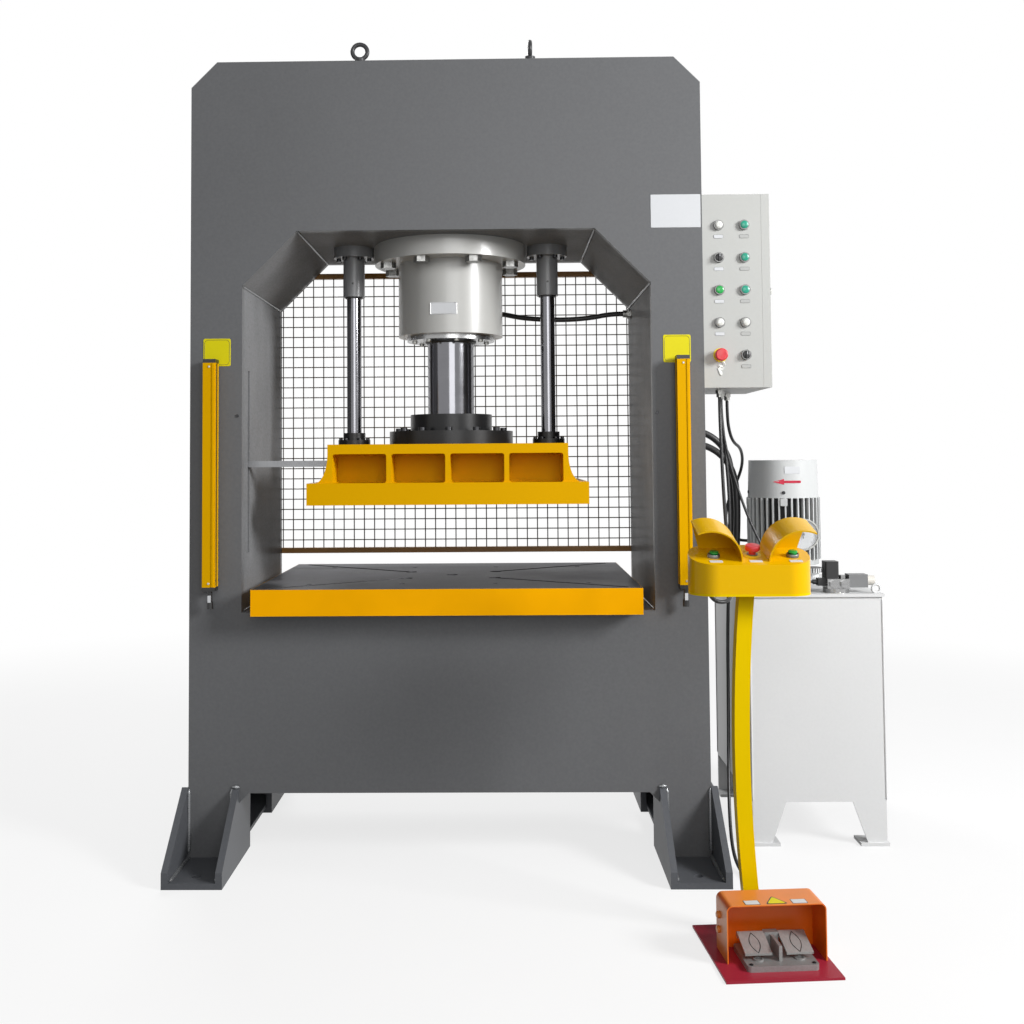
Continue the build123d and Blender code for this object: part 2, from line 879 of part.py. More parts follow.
box_places = [panel_place(column, row) for row in range(row_count) for column in range(column_count)]
hinge_x = box_right
hinge_y = box_rear + hinge_stand
hinge_levels = [box_bottom + hinge_inset, box_top - hinge_inset - 2 * knuckle_length]
with BuildPart() as box_shell:
    slab((box_left, box_right), (box_front, box_rear), (box_bottom, box_top))
    slab(
        (box_left + box_sheet, box_right - box_sheet),
        (box_front + box_sheet, box_rear - box_sheet),
        (box_bottom + box_sheet, box_top - box_sheet),
        mode=Mode.SUBTRACT,
    )
    slab(
        (box_right - cut_overrun, box_right + cut_overrun),
        (box_front + box_lip, box_rear - box_lip),
        (box_bottom + box_lip, box_top - box_lip),
        mode=Mode.SUBTRACT,
    )
    for spot in box_places:
        drum(spot, neck_radius, -cut_overrun, cut_overrun, mode=Mode.SUBTRACT)
    for level in hinge_levels:
        drum(Plane((hinge_x, hinge_y, level)), hinge_radius, 0, knuckle_length)
        slab((hinge_x - hinge_leaf, hinge_x), (box_rear, hinge_y), (level, level + knuckle_length))
keep(box_shell, "box_shell")

door_left = box_right + door_gap
door_right = door_left + door_depth
door_middle = (box_bottom + box_top) / 2
lock_spot = Plane((door_right, box_front + lock_inset, door_middle), x_dir=(0, 1, 0), z_dir=(1, 0, 0))
with BuildPart() as box_door:
    slab((door_left, door_right), (box_front, box_rear), (box_bottom, box_top))
    slab(
        (door_left - cut_overrun, door_right - box_sheet),
        (box_front + box_sheet, box_rear - box_sheet),
        (box_bottom + box_sheet, box_top - box_sheet),
        mode=Mode.SUBTRACT,
    )
    drum(lock_spot, lock_shaft + running_clearance, -cut_overrun, cut_overrun, mode=Mode.SUBTRACT)
    for level in hinge_levels:
        lower = level + knuckle_length + door_gap
        drum(Plane((hinge_x, hinge_y, lower)), hinge_radius, 0, knuckle_length - door_gap)
        slab((door_left, door_left + hinge_leaf), (box_rear, hinge_y), (lower, level + 2 * knuckle_length))
keep(box_door, "box_door")

with BuildPart() as door_lock:
    drum(lock_spot, lock_radius, running_clearance, lock_head)
    drum(lock_spot, lock_shaft, -door_depth / 2, running_clearance)
    with BuildSketch(lock_spot.offset(-door_depth / 2)):
        with Locations((lock_cam / 4, 0)):
            Rectangle(lock_cam, 2 * lock_shaft)
    extrude(amount=box_sheet)
    with BuildSketch(lock_spot.offset(lock_head)):
        Rectangle(lock_shaft / 2, 2 * lock_shaft)
    extrude(amount=lock_shaft)
keep(door_lock, "door_lock")

# Switchgear on a plate in the box, and two limit switches beside the slot in the left column
gear_left = box_left + box_sheet + gear_stand
gear_face = gear_left + gear_plate
gear_span = box_height - 2 * gear_margin
row_step = gear_span / rail_rows
with BuildPart() as switchgear:
    slab(
        (gear_left, gear_face),
        (box_front + gear_margin + neck_depth, box_rear - gear_margin),
        (box_bottom + gear_margin, box_top - gear_margin),
    )
    rail_front = box_front + 2 * gear_margin + neck_depth
    rail_rear = box_rear - 2 * gear_margin
    for corner_y in (rail_front, rail_rear):
        for corner_z in (box_bottom + 2 * gear_margin, box_top - 2 * gear_margin):
            stud = Plane((box_left + box_sheet, corner_y, corner_z), z_dir=(1, 0, 0))
            drum(stud, rail_depth, 0, gear_stand)
    module_step = (rail_rear - rail_front) / module_count
    for row in range(rail_rows):
        level = box_bottom + gear_margin + (row + 1 / 2) * row_step
        slab(
            (gear_face, gear_face + rail_depth),
            (rail_front, rail_rear),
            (level - rail_width / 2, level + rail_width / 2),
        )
        for slot in range(module_count):
            start = rail_front + slot * module_step
            slab(
                (gear_face + rail_depth, gear_face + rail_depth + module_depth),
                (start, start + module_width),
                (level - module_height / 2, level + module_height / 2),
            )
    for level in (slot_bottom - switch_height - switch_margin, slot_top + switch_margin):
        slab(
            (-column_inside - switch_depth, -column_inside),
            (-arm_offset - switch_width / 2, switch_width / 2 - arm_offset),
            (level, level + switch_height),
        )
        pin = Plane((-column_inside - switch_depth, -arm_offset, level + switch_height / 2), z_dir=(-1, 0, 0))
        drum(pin, switch_roller, 0, switch_roller)
keep(switchgear, "switchgear")

# Two-hand station: sloped panel and the places of its controls
station_y = case_front + pole_inset
panel_origin = (station_x, case_front, case_bottom + case_front_height)
panel_normal = (0, -sin(radians(panel_slope)), cos(radians(panel_slope)))
panel = Plane(panel_origin, x_dir=(1, 0, 0), z_dir=panel_normal)


def station_place(across: float, up_slope: float) -> Plane:
    """Plane of one control on the sloped panel of the two-hand case."""
    spot = panel.from_local_coords(Vector(across + control_shift, up_slope, 0))
    return Plane(spot, x_dir=(1, 0, 0), z_dir=panel_normal)


hand_left = station_place(-button_spread, button_up_slope)
hand_right = station_place(button_spread, button_up_slope)
hand_stop = station_place(0, stop_up_slope)
station_places = [hand_left, hand_right, hand_stop]

shroud_foot_spot = panel.from_local_coords(Vector(control_shift, shroud_inset + shroud_depth, 0))
shroud_end = Plane(shroud_foot_spot, x_dir=(1, 0, 0), z_dir=-panel.y_dir)
arc_middle = shroud_foot + shroud_radius
arc_start = straight_angle - shroud_sweep
with BuildPart() as shroud:
    with BuildSketch(shroud_end):
        with BuildLine():
            outer = CenterArc((arc_middle, 0), shroud_radius, arc_start, shroud_sweep)
            inner = CenterArc((arc_middle, 0), shroud_radius - shroud_sheet, arc_start, shroud_sweep)
            Line(outer @ 0, inner @ 0)
            Line(outer @ 1, inner @ 1)
        make_face()
    extrude(amount=shroud_depth)
    with BuildSketch(shroud_end):
        with BuildLine():
            rim = CenterArc((arc_middle, 0), shroud_radius, arc_start, shroud_sweep)
            Polyline(rim @ 1, (arc_middle + shroud_web, 0), rim @ 0)
        make_face()
    extrude(amount=shroud_sheet)
    mirror(about=Plane.YZ.offset(station_x + control_shift))

with BuildPart() as two_hand_case:
    with BuildSketch(Plane.XY.offset(case_bottom)):
        with Locations((station_x, case_front + case_depth / 2)):
            RectangleRounded(case_width, case_depth, case_corner)
    extrude(amount=case_front_height + case_depth)
    split(bisect_by=panel, keep=Keep.BOTTOM)
    offset(amount=-case_wall, openings=two_hand_case.faces().sort_by(Axis.Z)[0])
    for spot in station_places:
        drum(spot, neck_radius, -cut_overrun, cut_overrun, mode=Mode.SUBTRACT)
    add(shroud.part)
keep(two_hand_case, "two_hand_case")

# Bezels of every control, fixed lamps, buttons, selectors and emergency stops
with BuildPart() as control_bezels:
    for spot in box_places + station_places:
        drum(spot, bezel_radius, 0, bezel_height)
        drum(spot, neck_radius, -neck_depth - neck_floor, 0)
        drum(spot, head_radius + seat_clearance, -neck_depth, bezel_height, mode=Mode.SUBTRACT)
keep(control_bezels, "control_bezels")


def plain_button(spot: Plane, rise: float) -> BuildPart:
    """Flat round cap on its plunger, standing proud of the bezel by rise."""
    with BuildPart() as cap:
        drum(spot, head_radius, -head_depth, bezel_height + rise)
    return cap


def selector(spot: Plane) -> BuildPart:
    """Turning head with a short lever across it."""
    with BuildPart() as knob:
        drum(spot, head_radius, -head_depth, bezel_height + button_rise)
        with BuildSketch(spot.offset(bezel_height + button_rise)) as lever:
            SlotOverall(lever_length, lever_width, rotation=lever_turn)
        extrude(lever.sketch, amount=lever_height)
    return knob


def mushroom(spot: Plane) -> BuildPart:
    """Emergency stop: plunger under a mushroom head with a rounded rim."""
    head_low = bezel_height + mushroom_stem - mushroom_height / 2
    with BuildPart() as stop:
        drum(spot, mushroom_radius, head_low, head_low + mushroom_height)
        fillet(stop.edges().filter_by(GeomType.CIRCLE), mushroom_dish)
        drum(spot, head_radius, -head_depth, head_low)
    return stop


with BuildPart() as pilot_lamps:
    for spot in (panel_place(0, 0), panel_place(0, 3), panel_place(1, 3)):
        drum(spot, head_radius + seat_clearance, -neck_depth, bezel_height + lamp_rise)
keep(pilot_lamps, "pilot_lamps")

green_spots = [panel_place(1, 0), panel_place(1, 1), panel_place(0, 2), panel_place(1, 2)]
for number, spot in enumerate(green_spots, start=1):
    keep(plain_button(spot, button_rise), f"green_button_{number}")
for number, spot in enumerate((panel_place(0, 1), panel_place(1, 4)), start=1):
    keep(selector(spot), f"selector_{number}")
keep(mushroom(panel_place(0, 4)), "panel_estop")
keep(plain_button(hand_left, button_rise + button_travel), "two_hand_button_left")
keep(plain_button(hand_right, button_rise + button_travel), "two_hand_button_right")
keep(mushroom(hand_stop), "two_hand_estop")



def bowed_bar(wall: float, mode: Mode) -> None:
    """The pole's bowed square bar, or the hollow inside it, drawn in by a wall."""
    half = pole_size / 2 - wall
    top = case_bottom - pole_cap
    bow_height = base_top + pole_bow_share * (top - base_top)
    with BuildSketch(Plane.XZ.offset(-station_y)) as side_view:
        with BuildLine():
            sides = []
            for edge in (-half, half):
                start = (station_x + edge, base_top)
                middle = (station_x + edge - pole_bow, bow_height)
                sides.append(ThreePointArc(start, middle, (station_x + edge - pole_lean, top)))
            Line(sides[0] @ 0, sides[1] @ 0)
            Line(sides[0] @ 1, sides[1] @ 1)
        make_face()
    extrude(side_view.sketch, amount=half, both=True, mode=mode)


with BuildPart() as pedestal_pole:
    bowed_bar(0, Mode.ADD)
    bowed_bar(pole_wall, Mode.SUBTRACT)
    with BuildSketch(Plane.XY.offset(case_bottom - pole_cap)):
        with Locations((station_x, case_front + case_depth / 2)):
            RectangleRounded(case_width, case_depth, case_corner)
    extrude(amount=pole_cap)
keep(pedestal_pole, "pedestal_pole")

base_left = pedal_x - base_reach
with BuildPart() as pedestal_base:
    slab((base_left, base_left + base_width), (base_front, base_front + base_depth), (0, base_plate))
keep_turned(pedestal_base, "pedestal_base")

# Foot pedal: hood, shoe with centre rib and pivot post, two pedals
shoe_top = base_top + shoe_thickness
pivot_y = shoe_front + shoe_depth - pivot_inset
pivot_z = base_top + pivot_height
pedal_offset = shoe_rib / 2 + pedal_width / 2 + pedal_gap
with BuildPart() as pedal_guard:
    with BuildSketch(Plane.XZ.offset(-hood_front - hood_depth)):
        with Locations((pedal_x, base_top)):
            Rectangle(hood_width, hood_height, align=(Align.CENTER, Align.MIN))
    extrude(amount=hood_depth)
    top_edges = pedal_guard.edges().filter_by(Axis.Y).group_by(Axis.Z)[-1]
    fillet(top_edges, hood_corner)
    open_faces = [pedal_guard.faces().sort_by(Axis.Y)[0], pedal_guard.faces().sort_by(Axis.Z)[0]]
    offset(amount=-hood_wall, openings=open_faces)
keep_turned(pedal_guard, "pedal_guard")

with BuildPart() as pedal_base:
    with BuildSketch(Plane.XY.offset(base_top)):
        with Locations((pedal_x, shoe_front + shoe_depth / 2)):
            RectangleRounded(shoe_width, shoe_depth, shoe_corner)
    extrude(amount=shoe_thickness)
    slab(
        (pedal_x - shoe_rib / 2, pedal_x + shoe_rib / 2),
        (shoe_front + boss_inset, pivot_y + pivot_post),
        (shoe_top, shoe_top + shoe_rib_height),
    )
    pin_reach = pedal_offset + pedal_width / 2
    pin_axis = Plane((pedal_x - pin_reach, pivot_y, pivot_z), z_dir=(1, 0, 0))
    drum(pin_axis, pivot_pin / 2, 0, 2 * pin_reach)
    post_reach = pedal_gap + shoe_rib / 2 - running_clearance
    slab(
        (pedal_x - post_reach, pedal_x + post_reach),
        (pivot_y - pivot_post, pivot_y + pivot_post),
        (shoe_top, pivot_z + pivot_pin),
    )
    for side in (-1, 1):
        boss = Plane((pedal_x + side * pedal_offset, shoe_front + boss_inset + boss_radius, shoe_top))
        drum(boss, boss_radius, 0, boss_height)
        drum(boss, boss_radius - boss_wall, 0, boss_height, mode=Mode.SUBTRACT)
keep_turned(pedal_base, "pedal_base")


def pedal(side: int) -> BuildPart:
    """Sloped pedal plate, hung from a knuckle at its rear edge."""
    centre = pedal_x + side * pedal_offset
    start = centre + pedal_width / 2 - seat_clearance
    width = pedal_width - 2 * seat_clearance
    rise = radians(pedal_slope)
    tread = Plane((start, pivot_y, pivot_z), x_dir=(0, -cos(rise), -sin(rise)), z_dir=(-1, 0, 0))
    with BuildPart() as plate:
        drum(tread, pedal_knuckle, 0, width)
        with BuildSketch(tread):
            with Locations((pedal_length / 2, pedal_knuckle - pedal_plate / 2)):
                Rectangle(pedal_length, pedal_plate)
        extrude(amount=width)
        drum(tread, pivot_pin / 2 + seat_clearance, 0, width, mode=Mode.SUBTRACT)
    return plate


keep_turned(pedal(-1), "pedal_left")
keep_turned(pedal(1), "pedal_right")

# Power unit: tank on sheet legs, lid with filler and eye
tank_right = tank_left + tank_width
tank_rear = tank_front + tank_depth
with BuildPart() as tank:
    slab((tank_left, tank_right), (tank_front, tank_rear), (tank_bottom, tank_top))
    slab(
        (tank_left + tank_wall, tank_right - tank_wall),
        (tank_front + tank_wall, tank_rear - tank_wall),
        (tank_bottom + tank_wall, tank_top + cut_overrun),
        mode=Mode.SUBTRACT,
    )
    for leg_face in (-tank_front, leg_sheet - tank_rear):
        with BuildSketch(Plane.XZ.offset(leg_face - leg_sheet)):
            for edge, inward in ((tank_left, 1), (tank_right, -1)):
                Polygon(
                    (edge, tank_bottom),
                    (edge + inward * leg_top_width, tank_bottom),
                    (edge + inward * leg_foot_width, pad_thickness),
                    (edge, pad_thickness),
                    align=None,
                )
        extrude(amount=leg_sheet)
    for edge in (tank_left + pad_width / 2 - leg_sheet, tank_right - pad_width / 2 + leg_sheet):
        for place_y in (tank_front + pad_depth / 2 - leg_sheet, tank_rear - pad_depth / 2 + leg_sheet):
            slab(
                (edge - pad_width / 2, edge + pad_width / 2),
                (place_y - pad_depth / 2, place_y + pad_depth / 2),
                (0, pad_thickness),
            )
keep(tank, "tank")

filler_spot = Plane((tank_right - filler_inset, tank_rear - filler_inset, lid_top))
lid_eye_spot = Plane((tank_right - lid_eye_inset, tank_front + lid_eye_inset, lid_top))
with BuildPart() as tank_lid:
    slab(
        (tank_left - lid_overhang, tank_right + lid_overhang),
        (tank_front - lid_overhang, tank_rear + lid_overhang),
        (tank_top, lid_top),
    )
    drum(filler_spot, filler_neck / 2, 0, filler_height / 2)
    drum(filler_spot, filler_diameter / 2, filler_height / 2, filler_height)
    eye_middle = lid_eye_spot.offset(lid_eye_ring + lid_eye_wire / 2).origin
    with Locations(Plane(eye_middle, z_dir=(0, 1, 0)).location):
        Torus(lid_eye_ring, lid_eye_wire)
keep(tank_lid, "tank_lid")

# Motor: bell housing, flange, finned body with terminal box, fan under a slotted cowl
motor_axis = Plane((motor_x, motor_y, 0))
terminal_front = motor_y + core_diameter / 2
terminal_rear = motor_y + fin_diameter / 2 + terminal_depth
terminal_bottom = fin_bottom + terminal_rise
with BuildPart() as motor_housing:
    drum(motor_axis, bell_diameter / 2, lid_top, lid_top + bell_height)
    drum(motor_axis, motor_flange_diameter / 2, lid_top + bell_height, fin_bottom)
    with BuildSketch(motor_axis.offset(fin_bottom)):
        Circle(core_diameter / 2)
        fin_length = (fin_diameter - core_diameter) / 2 + fin_thickness
        with PolarLocations(fin_diameter / 2 - fin_length / 2, fin_count):
            Rectangle(fin_length, fin_thickness)
    extrude(amount=fin_height)
    slab(
        (motor_x - terminal_width / 2, motor_x + terminal_width / 2),
        (terminal_front, terminal_rear),
        (terminal_bottom, terminal_bottom + terminal_height),
    )
    shaft_bore = shaft_diameter / 2 + running_clearance
    drum(motor_axis, shaft_bore, fin_top - shaft_bury, fin_top + cut_overrun, mode=Mode.SUBTRACT)
keep(motor_housing, "motor_housing")

cowl_top = fin_top + cowl_height
with BuildPart() as fan_cowl:
    with BuildSketch(Plane((motor_x, motor_y, 0), x_dir=(1, 0, 0), z_dir=(0, -1, 0))):
        Polygon(
            (cowl_diameter / 2 - cowl_wall, fin_top),
            (cowl_diameter / 2, fin_top),
            (cowl_top_diameter / 2, cowl_top),
            (0, cowl_top),
            (0, cowl_top - cowl_wall),
            (cowl_top_diameter / 2 - cowl_wall, cowl_top - cowl_wall),
            align=None,
        )
    revolve(axis=Axis((motor_x, motor_y, 0), (0, 0, 1)))
    with BuildSketch(motor_axis.offset(cowl_top - cowl_wall)):
        with PolarLocations((cowl_slot_inner + cowl_slot_outer) / 2, cowl_slot_count):
            SlotOverall(cowl_slot_outer - cowl_slot_inner, cowl_slot_width)
    extrude(amount=cowl_wall, mode=Mode.SUBTRACT)
keep(fan_cowl, "fan_cowl")

fan_bottom = fin_top + fan_lift
with BuildPart() as motor_fan:
    drum(motor_axis, shaft_diameter / 2, fin_top - shaft_bury + running_clearance, fan_bottom + fan_height)
    drum(motor_axis, fan_hub_diameter / 2, fan_bottom, fan_bottom + fan_height)
    drum(motor_axis, fan_diameter / 2, fan_bottom, fan_bottom + fan_blade)
    with BuildSketch(motor_axis.offset(fan_bottom)):
        blade_length = (fan_diameter - fan_hub_diameter) / 2 + fan_blade
        with PolarLocations(fan_diameter / 2 - blade_length / 2, fan_blade_count):
            Rectangle(blade_length, fan_blade)
    extrude(amount=fan_height)
keep(motor_fan, "motor_fan")

# Valves on the front right of the lid
valve_x = tank_left + valve_inset_x
valve_y = tank_front + valve_inset_y
valve_top = lid_top + valve_base + valve_block_height
valve_right = valve_x + valve_block_width / 2
valve_middle = lid_top + valve_base + valve_block_height / 2
with BuildPart() as valve_block:
    drum(Plane((valve_x, valve_y, lid_top)), valve_base_diameter / 2, 0, valve_base)
    slab(
        (valve_x - valve_block_width / 2, valve_right),
        (valve_y - valve_block_depth / 2, valve_y + valve_block_depth / 2),
        (lid_top + valve_base, valve_top),
    )
    for across in (-1, 1):
        spot = Plane(
            (valve_x + across * valve_block_width / 4, valve_y - valve_block_depth / 2, valve_middle),
            z_dir=(0, -1, 0),
        )
        hex_prism(spot, valve_plug_diameter, 0, valve_plug_length)
    relief = Plane((valve_x + relief_share * valve_block_width, valve_y, valve_top))
    hex_prism(relief, valve_plug_diameter, 0, valve_plug_length)
keep(valve_block, "valve_block")

connector_left = valve_x - valve_block_width / 2 - connector_width
with BuildPart() as solenoid_valve:
    coil_middle = valve_middle + coil_cap_diameter / 4
    slab(
        (valve_right, valve_right + coil_length),
        (valve_y - coil_depth / 2, valve_y + coil_depth / 2),
        (coil_middle - coil_height / 2, coil_middle + coil_height / 2),
    )
    cap_spot = Plane((valve_right + coil_length, valve_y, coil_middle), z_dir=(1, 0, 0))
    drum(cap_spot, coil_cap_diameter / 2, 0, coil_cap_length)
    with BuildSketch(Plane.XY.offset(valve_top)):
        with Locations((valve_x - valve_block_width / 4, valve_y)):
            RectangleRounded(top_coil_width, top_coil_depth, top_coil_round)
    extrude(amount=top_coil_height)
    slab(
        (connector_left, connector_left + connector_width),
        (valve_y - connector_depth / 2, valve_y + connector_depth / 2),
        (valve_top - connector_height, valve_top),
    )
    plug_spot = Plane((connector_left, valve_y, valve_top - connector_height / 2), z_dir=(-1, 0, 0))
    drum(plug_spot, connector_gland_diameter / 2, 0, connector_gland_length)
keep(solenoid_valve, "solenoid_valve")

# Pressure gauge on a stem from the lid
gauge_x = tank_left + gauge_inset_x
gauge_y = tank_front + gauge_inset_y
gauge_height = lid_top + gauge_rise
gauge_face = Plane((gauge_x, gauge_y, gauge_height), x_dir=(1, 0, 0), z_dir=(0, -1, 0))
dial_floor = gauge_depth / 2 - gauge_recess
with BuildPart() as gauge_case:
    drum(Plane((gauge_x, gauge_y, lid_top)), gauge_stem / 2, 0, gauge_height - lid_top)
    hex_prism(Plane((gauge_x, gauge_y, lid_top)), gauge_nut, 0, gauge_nut_height)
    drum(gauge_face, gauge_diameter / 2, -gauge_depth / 2, gauge_depth / 2)
    drum(gauge_face, gauge_diameter / 2 - gauge_rim, dial_floor, gauge_depth / 2, mode=Mode.SUBTRACT)
keep(gauge_case, "gauge_case")

with BuildPart() as gauge_needle:
    drum(gauge_face, needle_hub, dial_floor + seat_clearance, dial_floor + needle_lift + needle_thickness)
    with BuildSketch(gauge_face.offset(dial_floor + needle_lift)):
        with Locations((0, (needle_length - needle_tail) / 2)):
            Rectangle(needle_width, needle_length + needle_tail)
    extrude(amount=needle_thickness)
keep(gauge_needle, "gauge_needle")

# Glands: places where each cord leaves a piece, as planes with the normal along the cord
lid_port_x = tank_left + lid_port_inset
pressure_wall_y = inner_depth / 2 - pressure_wall_inset
return_wall_y = inner_depth / 2 - return_wall_inset
feed_wall = (half_opening, inner_depth / 2 - feed_wall_inset, crown_height - feed_wall_drop)
case_port = (station_x - case_port_inset, case_front + case_depth, case_bottom + case_port_rise)
pedal_side = Vector(1, 0, 0).rotate(Axis.Z, pedal_turn)
pedal_frame = Plane((pedal_x, hood_front, base_top), x_dir=pedal_side, z_dir=(0, 0, 1))
hood_port = pedal_frame.from_local_coords(Vector(hood_port_inset, hood_depth, hood_port_rise))
terminal_port = (
    motor_x - terminal_width / 2,
    terminal_rear - terminal_port_inset,
    terminal_bottom + terminal_port_rise,
)


def under_box(inset_x: float, inset_y: float) -> Plane:
    """Place of a gland under the control box, measured from its left front corner."""
    return Plane((box_left + inset_x, box_front + inset_y, box_bottom), z_dir=(0, 0, -1))


pressure_out = Plane((half_width, pressure_wall_y, pressure_wall_z), z_dir=(1, 0, 0))
return_out = Plane((half_width, return_wall_y, return_wall_z), z_dir=(1, 0, 0))
pressure_in = Plane((lid_port_x, tank_front + pressure_lid_inset, lid_top), z_dir=(0, 0, 1))
return_in = Plane((lid_port_x, tank_front + return_lid_inset, lid_top), z_dir=(0, 0, 1))
feed_out = port_axis.offset(port_face)
feed_in = Plane(feed_wall, z_dir=(-1, 0, 0))
motor_out = under_box(motor_box_inset_x, motor_box_inset_y)
valve_out = under_box(valve_box_inset_x, valve_box_inset_y)
station_out = under_box(station_box_inset_x, station_box_inset_y)
pedal_out = under_box(pedal_box_inset_x, pedal_box_inset_y)
motor_in = Plane(terminal_port, z_dir=(-1, 0, 0))
station_in = Plane(case_port, z_dir=(0, 1, 0))
pedal_in = Plane(hood_port, z_dir=pedal_frame.y_dir)

with BuildPart() as hose_glands:
    for spot in (pressure_out, return_out, pressure_in, return_in):
        hex_prism(spot, hose_gland_diameter, 0, hose_gland_length / 2)
        drum(spot, hose_gland_diameter / 2 * hex_share, hose_gland_length / 2, hose_gland_length)
    for spot in (feed_out, feed_in):
        hex_prism(spot, feed_gland_diameter, 0, feed_gland_length / 2)
        drum(spot, feed_gland_diameter / 2 * hex_share, feed_gland_length / 2, feed_gland_length)
    for spot in (motor_out, valve_out, station_out, pedal_out, motor_in, station_in, pedal_in):
        hex_prism(spot, cable_gland_diameter, 0, cable_gland_length / 2)
        drum(spot, cable_gland_diameter / 2 * hex_share, cable_gland_length / 2, cable_gland_length)
keep(hose_glands, "hose_glands")


def cord(name: str, points, diameter: float) -> None:
    """Tube along straight runs joined by tangent arcs, each as large as its two runs allow."""
    corners = [Vector(*point) for point in points]
    radii = []
    for before, here, after in zip(corners, corners[1:], corners[2:]):
        half_turn = radians((here - before).get_angle(after - here)) / 2
        shorter = min((here - before).length, (after - here).length)
        radii.append(arc_share * shorter / tan(half_turn))
    with BuildPart() as tube:
        with BuildLine() as path:
            FilletPolyline(*corners, radius=radii)
        with BuildSketch(Plane(corners[0], z_dir=corners[1] - corners[0])):
            Circle(diameter / 2)
        sweep()
    length = sum(edge.length for edge in path.edges())
    ratio = tube.part.volume / (pi * diameter**2 / 4 * length)
    figures = ("smallest radius", round(min(radii)), "length", round(length), "volume ratio", round(ratio, 4))
    print(name, *figures)
    keep(tube, name)


def gland_end(spot: Plane, length: float) -> Vector:
    """Centre of the outer face of a gland, where its cord starts."""
    return spot.offset(length).origin


# Routes of the hoses and cables: each leaves its glands along their axes
cord(
    "cylinder_hose",
    [
        gland_end(feed_out, feed_gland_length),
        gland_end(feed_out, feed_gland_length + feed_lead),
        (245.0, 218.0, 1765.0),
        (325.0, 236.0, 1760.0),
        (415.0, 245.0, 1759.0),
        (505.0, 249.0, 1766.0),
        gland_end(feed_in, feed_gland_length + feed_lead),
        gland_end(feed_in, feed_gland_length),
    ],
    feed_diameter,
)
cord(
    "pressure_hose",
    [
        gland_end(pressure_out, hose_gland_length),
        gland_end(pressure_out, hose_gland_length + hose_lead),
        (940.0, 174.0, 1277.0),
        (983.0, 171.0, 1234.0),
        (1006.0, 166.0, 1178.0),
        (1011.0, 159.0, 1085.0),
        (1007.0, 153.0, 985.0),
        gland_end(pressure_in, hose_gland_length + hose_lead),
        gland_end(pressure_in, hose_gland_length),
    ],
    hose_diameter,
)
cord(
    "return_hose",
    [
        gland_end(return_out, hose_gland_length),
        gland_end(return_out, hose_gland_length + hose_lead),
        (940.0, 236.0, 1327.0),
        (983.0, 239.0, 1284.0),
        (1006.0, 244.0, 1228.0),
        (1013.0, 251.0, 1130.0),
        (1010.0, 258.0, 1020.0),
        (1003.0, 261.0, 930.0),
        gland_end(return_in, hose_gland_length + hose_lead),
        gland_end(return_in, hose_gland_length),
    ],
    hose_diameter,
)
cord(
    "motor_cable",
    [
        gland_end(motor_out, cable_gland_length),
        gland_end(motor_out, cable_gland_length + cable_lead),
        (965.0, 60.0, 1350.0),
        (990.0, 115.0, 1305.0),
        (1035.0, 190.0, 1283.0),
        (1055.0, 262.0, 1225.0),
        (1035.0, 298.0, 1150.0),
        (1008.0, 304.0, 1095.0),
        (996.0, 303.0, 1035.0),
        (1000.0, 302.0, 988.0),
        (1018.0, 301.0, 958.0),
        gland_end(motor_in, cable_gland_length + short_lead),
        gland_end(motor_in, cable_gland_length),
    ],
    cable_diameter,
)
cord(
    "valve_cable",
    [
        gland_end(valve_out, cable_gland_length),
        gland_end(valve_out, cable_gland_length + cable_lead),
        (912.0, -118.0, 1330.0),
        (930.0, -113.0, 1240.0),
        (960.0, -111.0, 1140.0),
        (995.0, -114.0, 1040.0),
        (1038.0, -123.0, 945.0),
        (1080.0, -129.0, 882.0),
        (1118.0, -131.0, 852.0),
        gland_end(plug_spot, connector_gland_length + short_lead),
        gland_end(plug_spot, connector_gland_length),
    ],
    thin_cable_diameter,
)
cord(
    "station_cable",
    [
        gland_end(station_in, cable_gland_length),
        gland_end(station_in, cable_gland_length + loop_lead),
        (741.0, -735.0, 908.0),
        (744.0, -722.0, 893.0),
        (750.0, -715.0, 873.0),
        (762.0, -711.0, 856.0),
        (780.0, -707.0, 848.0),
        (800.0, -697.0, 848.0),
        (819.0, -670.0, 856.0),
        (833.0, -610.0, 878.0),
        (846.0, -530.0, 915.0),
        (858.0, -440.0, 980.0),
        (867.0, -362.0, 1060.0),
        (874.0, -300.0, 1155.0),
        (880.0, -250.0, 1255.0),
        (884.0, -216.0, 1345.0),
        gland_end(station_out, cable_gland_length + cable_lead),
        gland_end(station_out, cable_gland_length),
    ],
    cable_diameter,
)
cord(
    "pedal_cable",
    [
        gland_end(pedal_out, cable_gland_length),
        gland_end(pedal_out, cable_gland_length + cable_lead),
        (930.0, -48.0, 1290.0),
        (941.0, -56.0, 1130.0),
        (939.0, -62.0, 970.0),
        (931.0, -62.0, 810.0),
        (925.0, -66.0, 650.0),
        (922.0, -76.0, 490.0),
        (915.0, -106.0, 345.0),
        (904.0, -152.0, 215.0),
        (892.0, -218.0, 105.0),
        (882.0, -306.0, 34.0),
        (881.0, -400.0, 8.0),
        (890.0, -505.0, 8.0),
        (903.0, -620.0, 9.0),
        (911.0, -730.0, 16.0),
        (909.0, -800.0, 24.0),
        gland_end(pedal_in, cable_gland_length + cable_lead),
        gland_end(pedal_in, cable_gland_length),
    ],
    cable_diameter,
)
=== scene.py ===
"""Looks of a portal hydraulic press with its power unit, control box, two-hand station and foot pedal.

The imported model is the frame. Each sub-assembly is a class that dresses its own
nodes and builds the small pieces that ride on them. Lengths are metres.
"""

from __future__ import annotations

import logging
import math
from dataclasses import dataclass, field
from enum import Enum
from itertools import product
from typing import Any, Dict, List, Optional, Sequence, Tuple, Union

import bmesh
import bpy
import numpy as np
from mathutils import Matrix

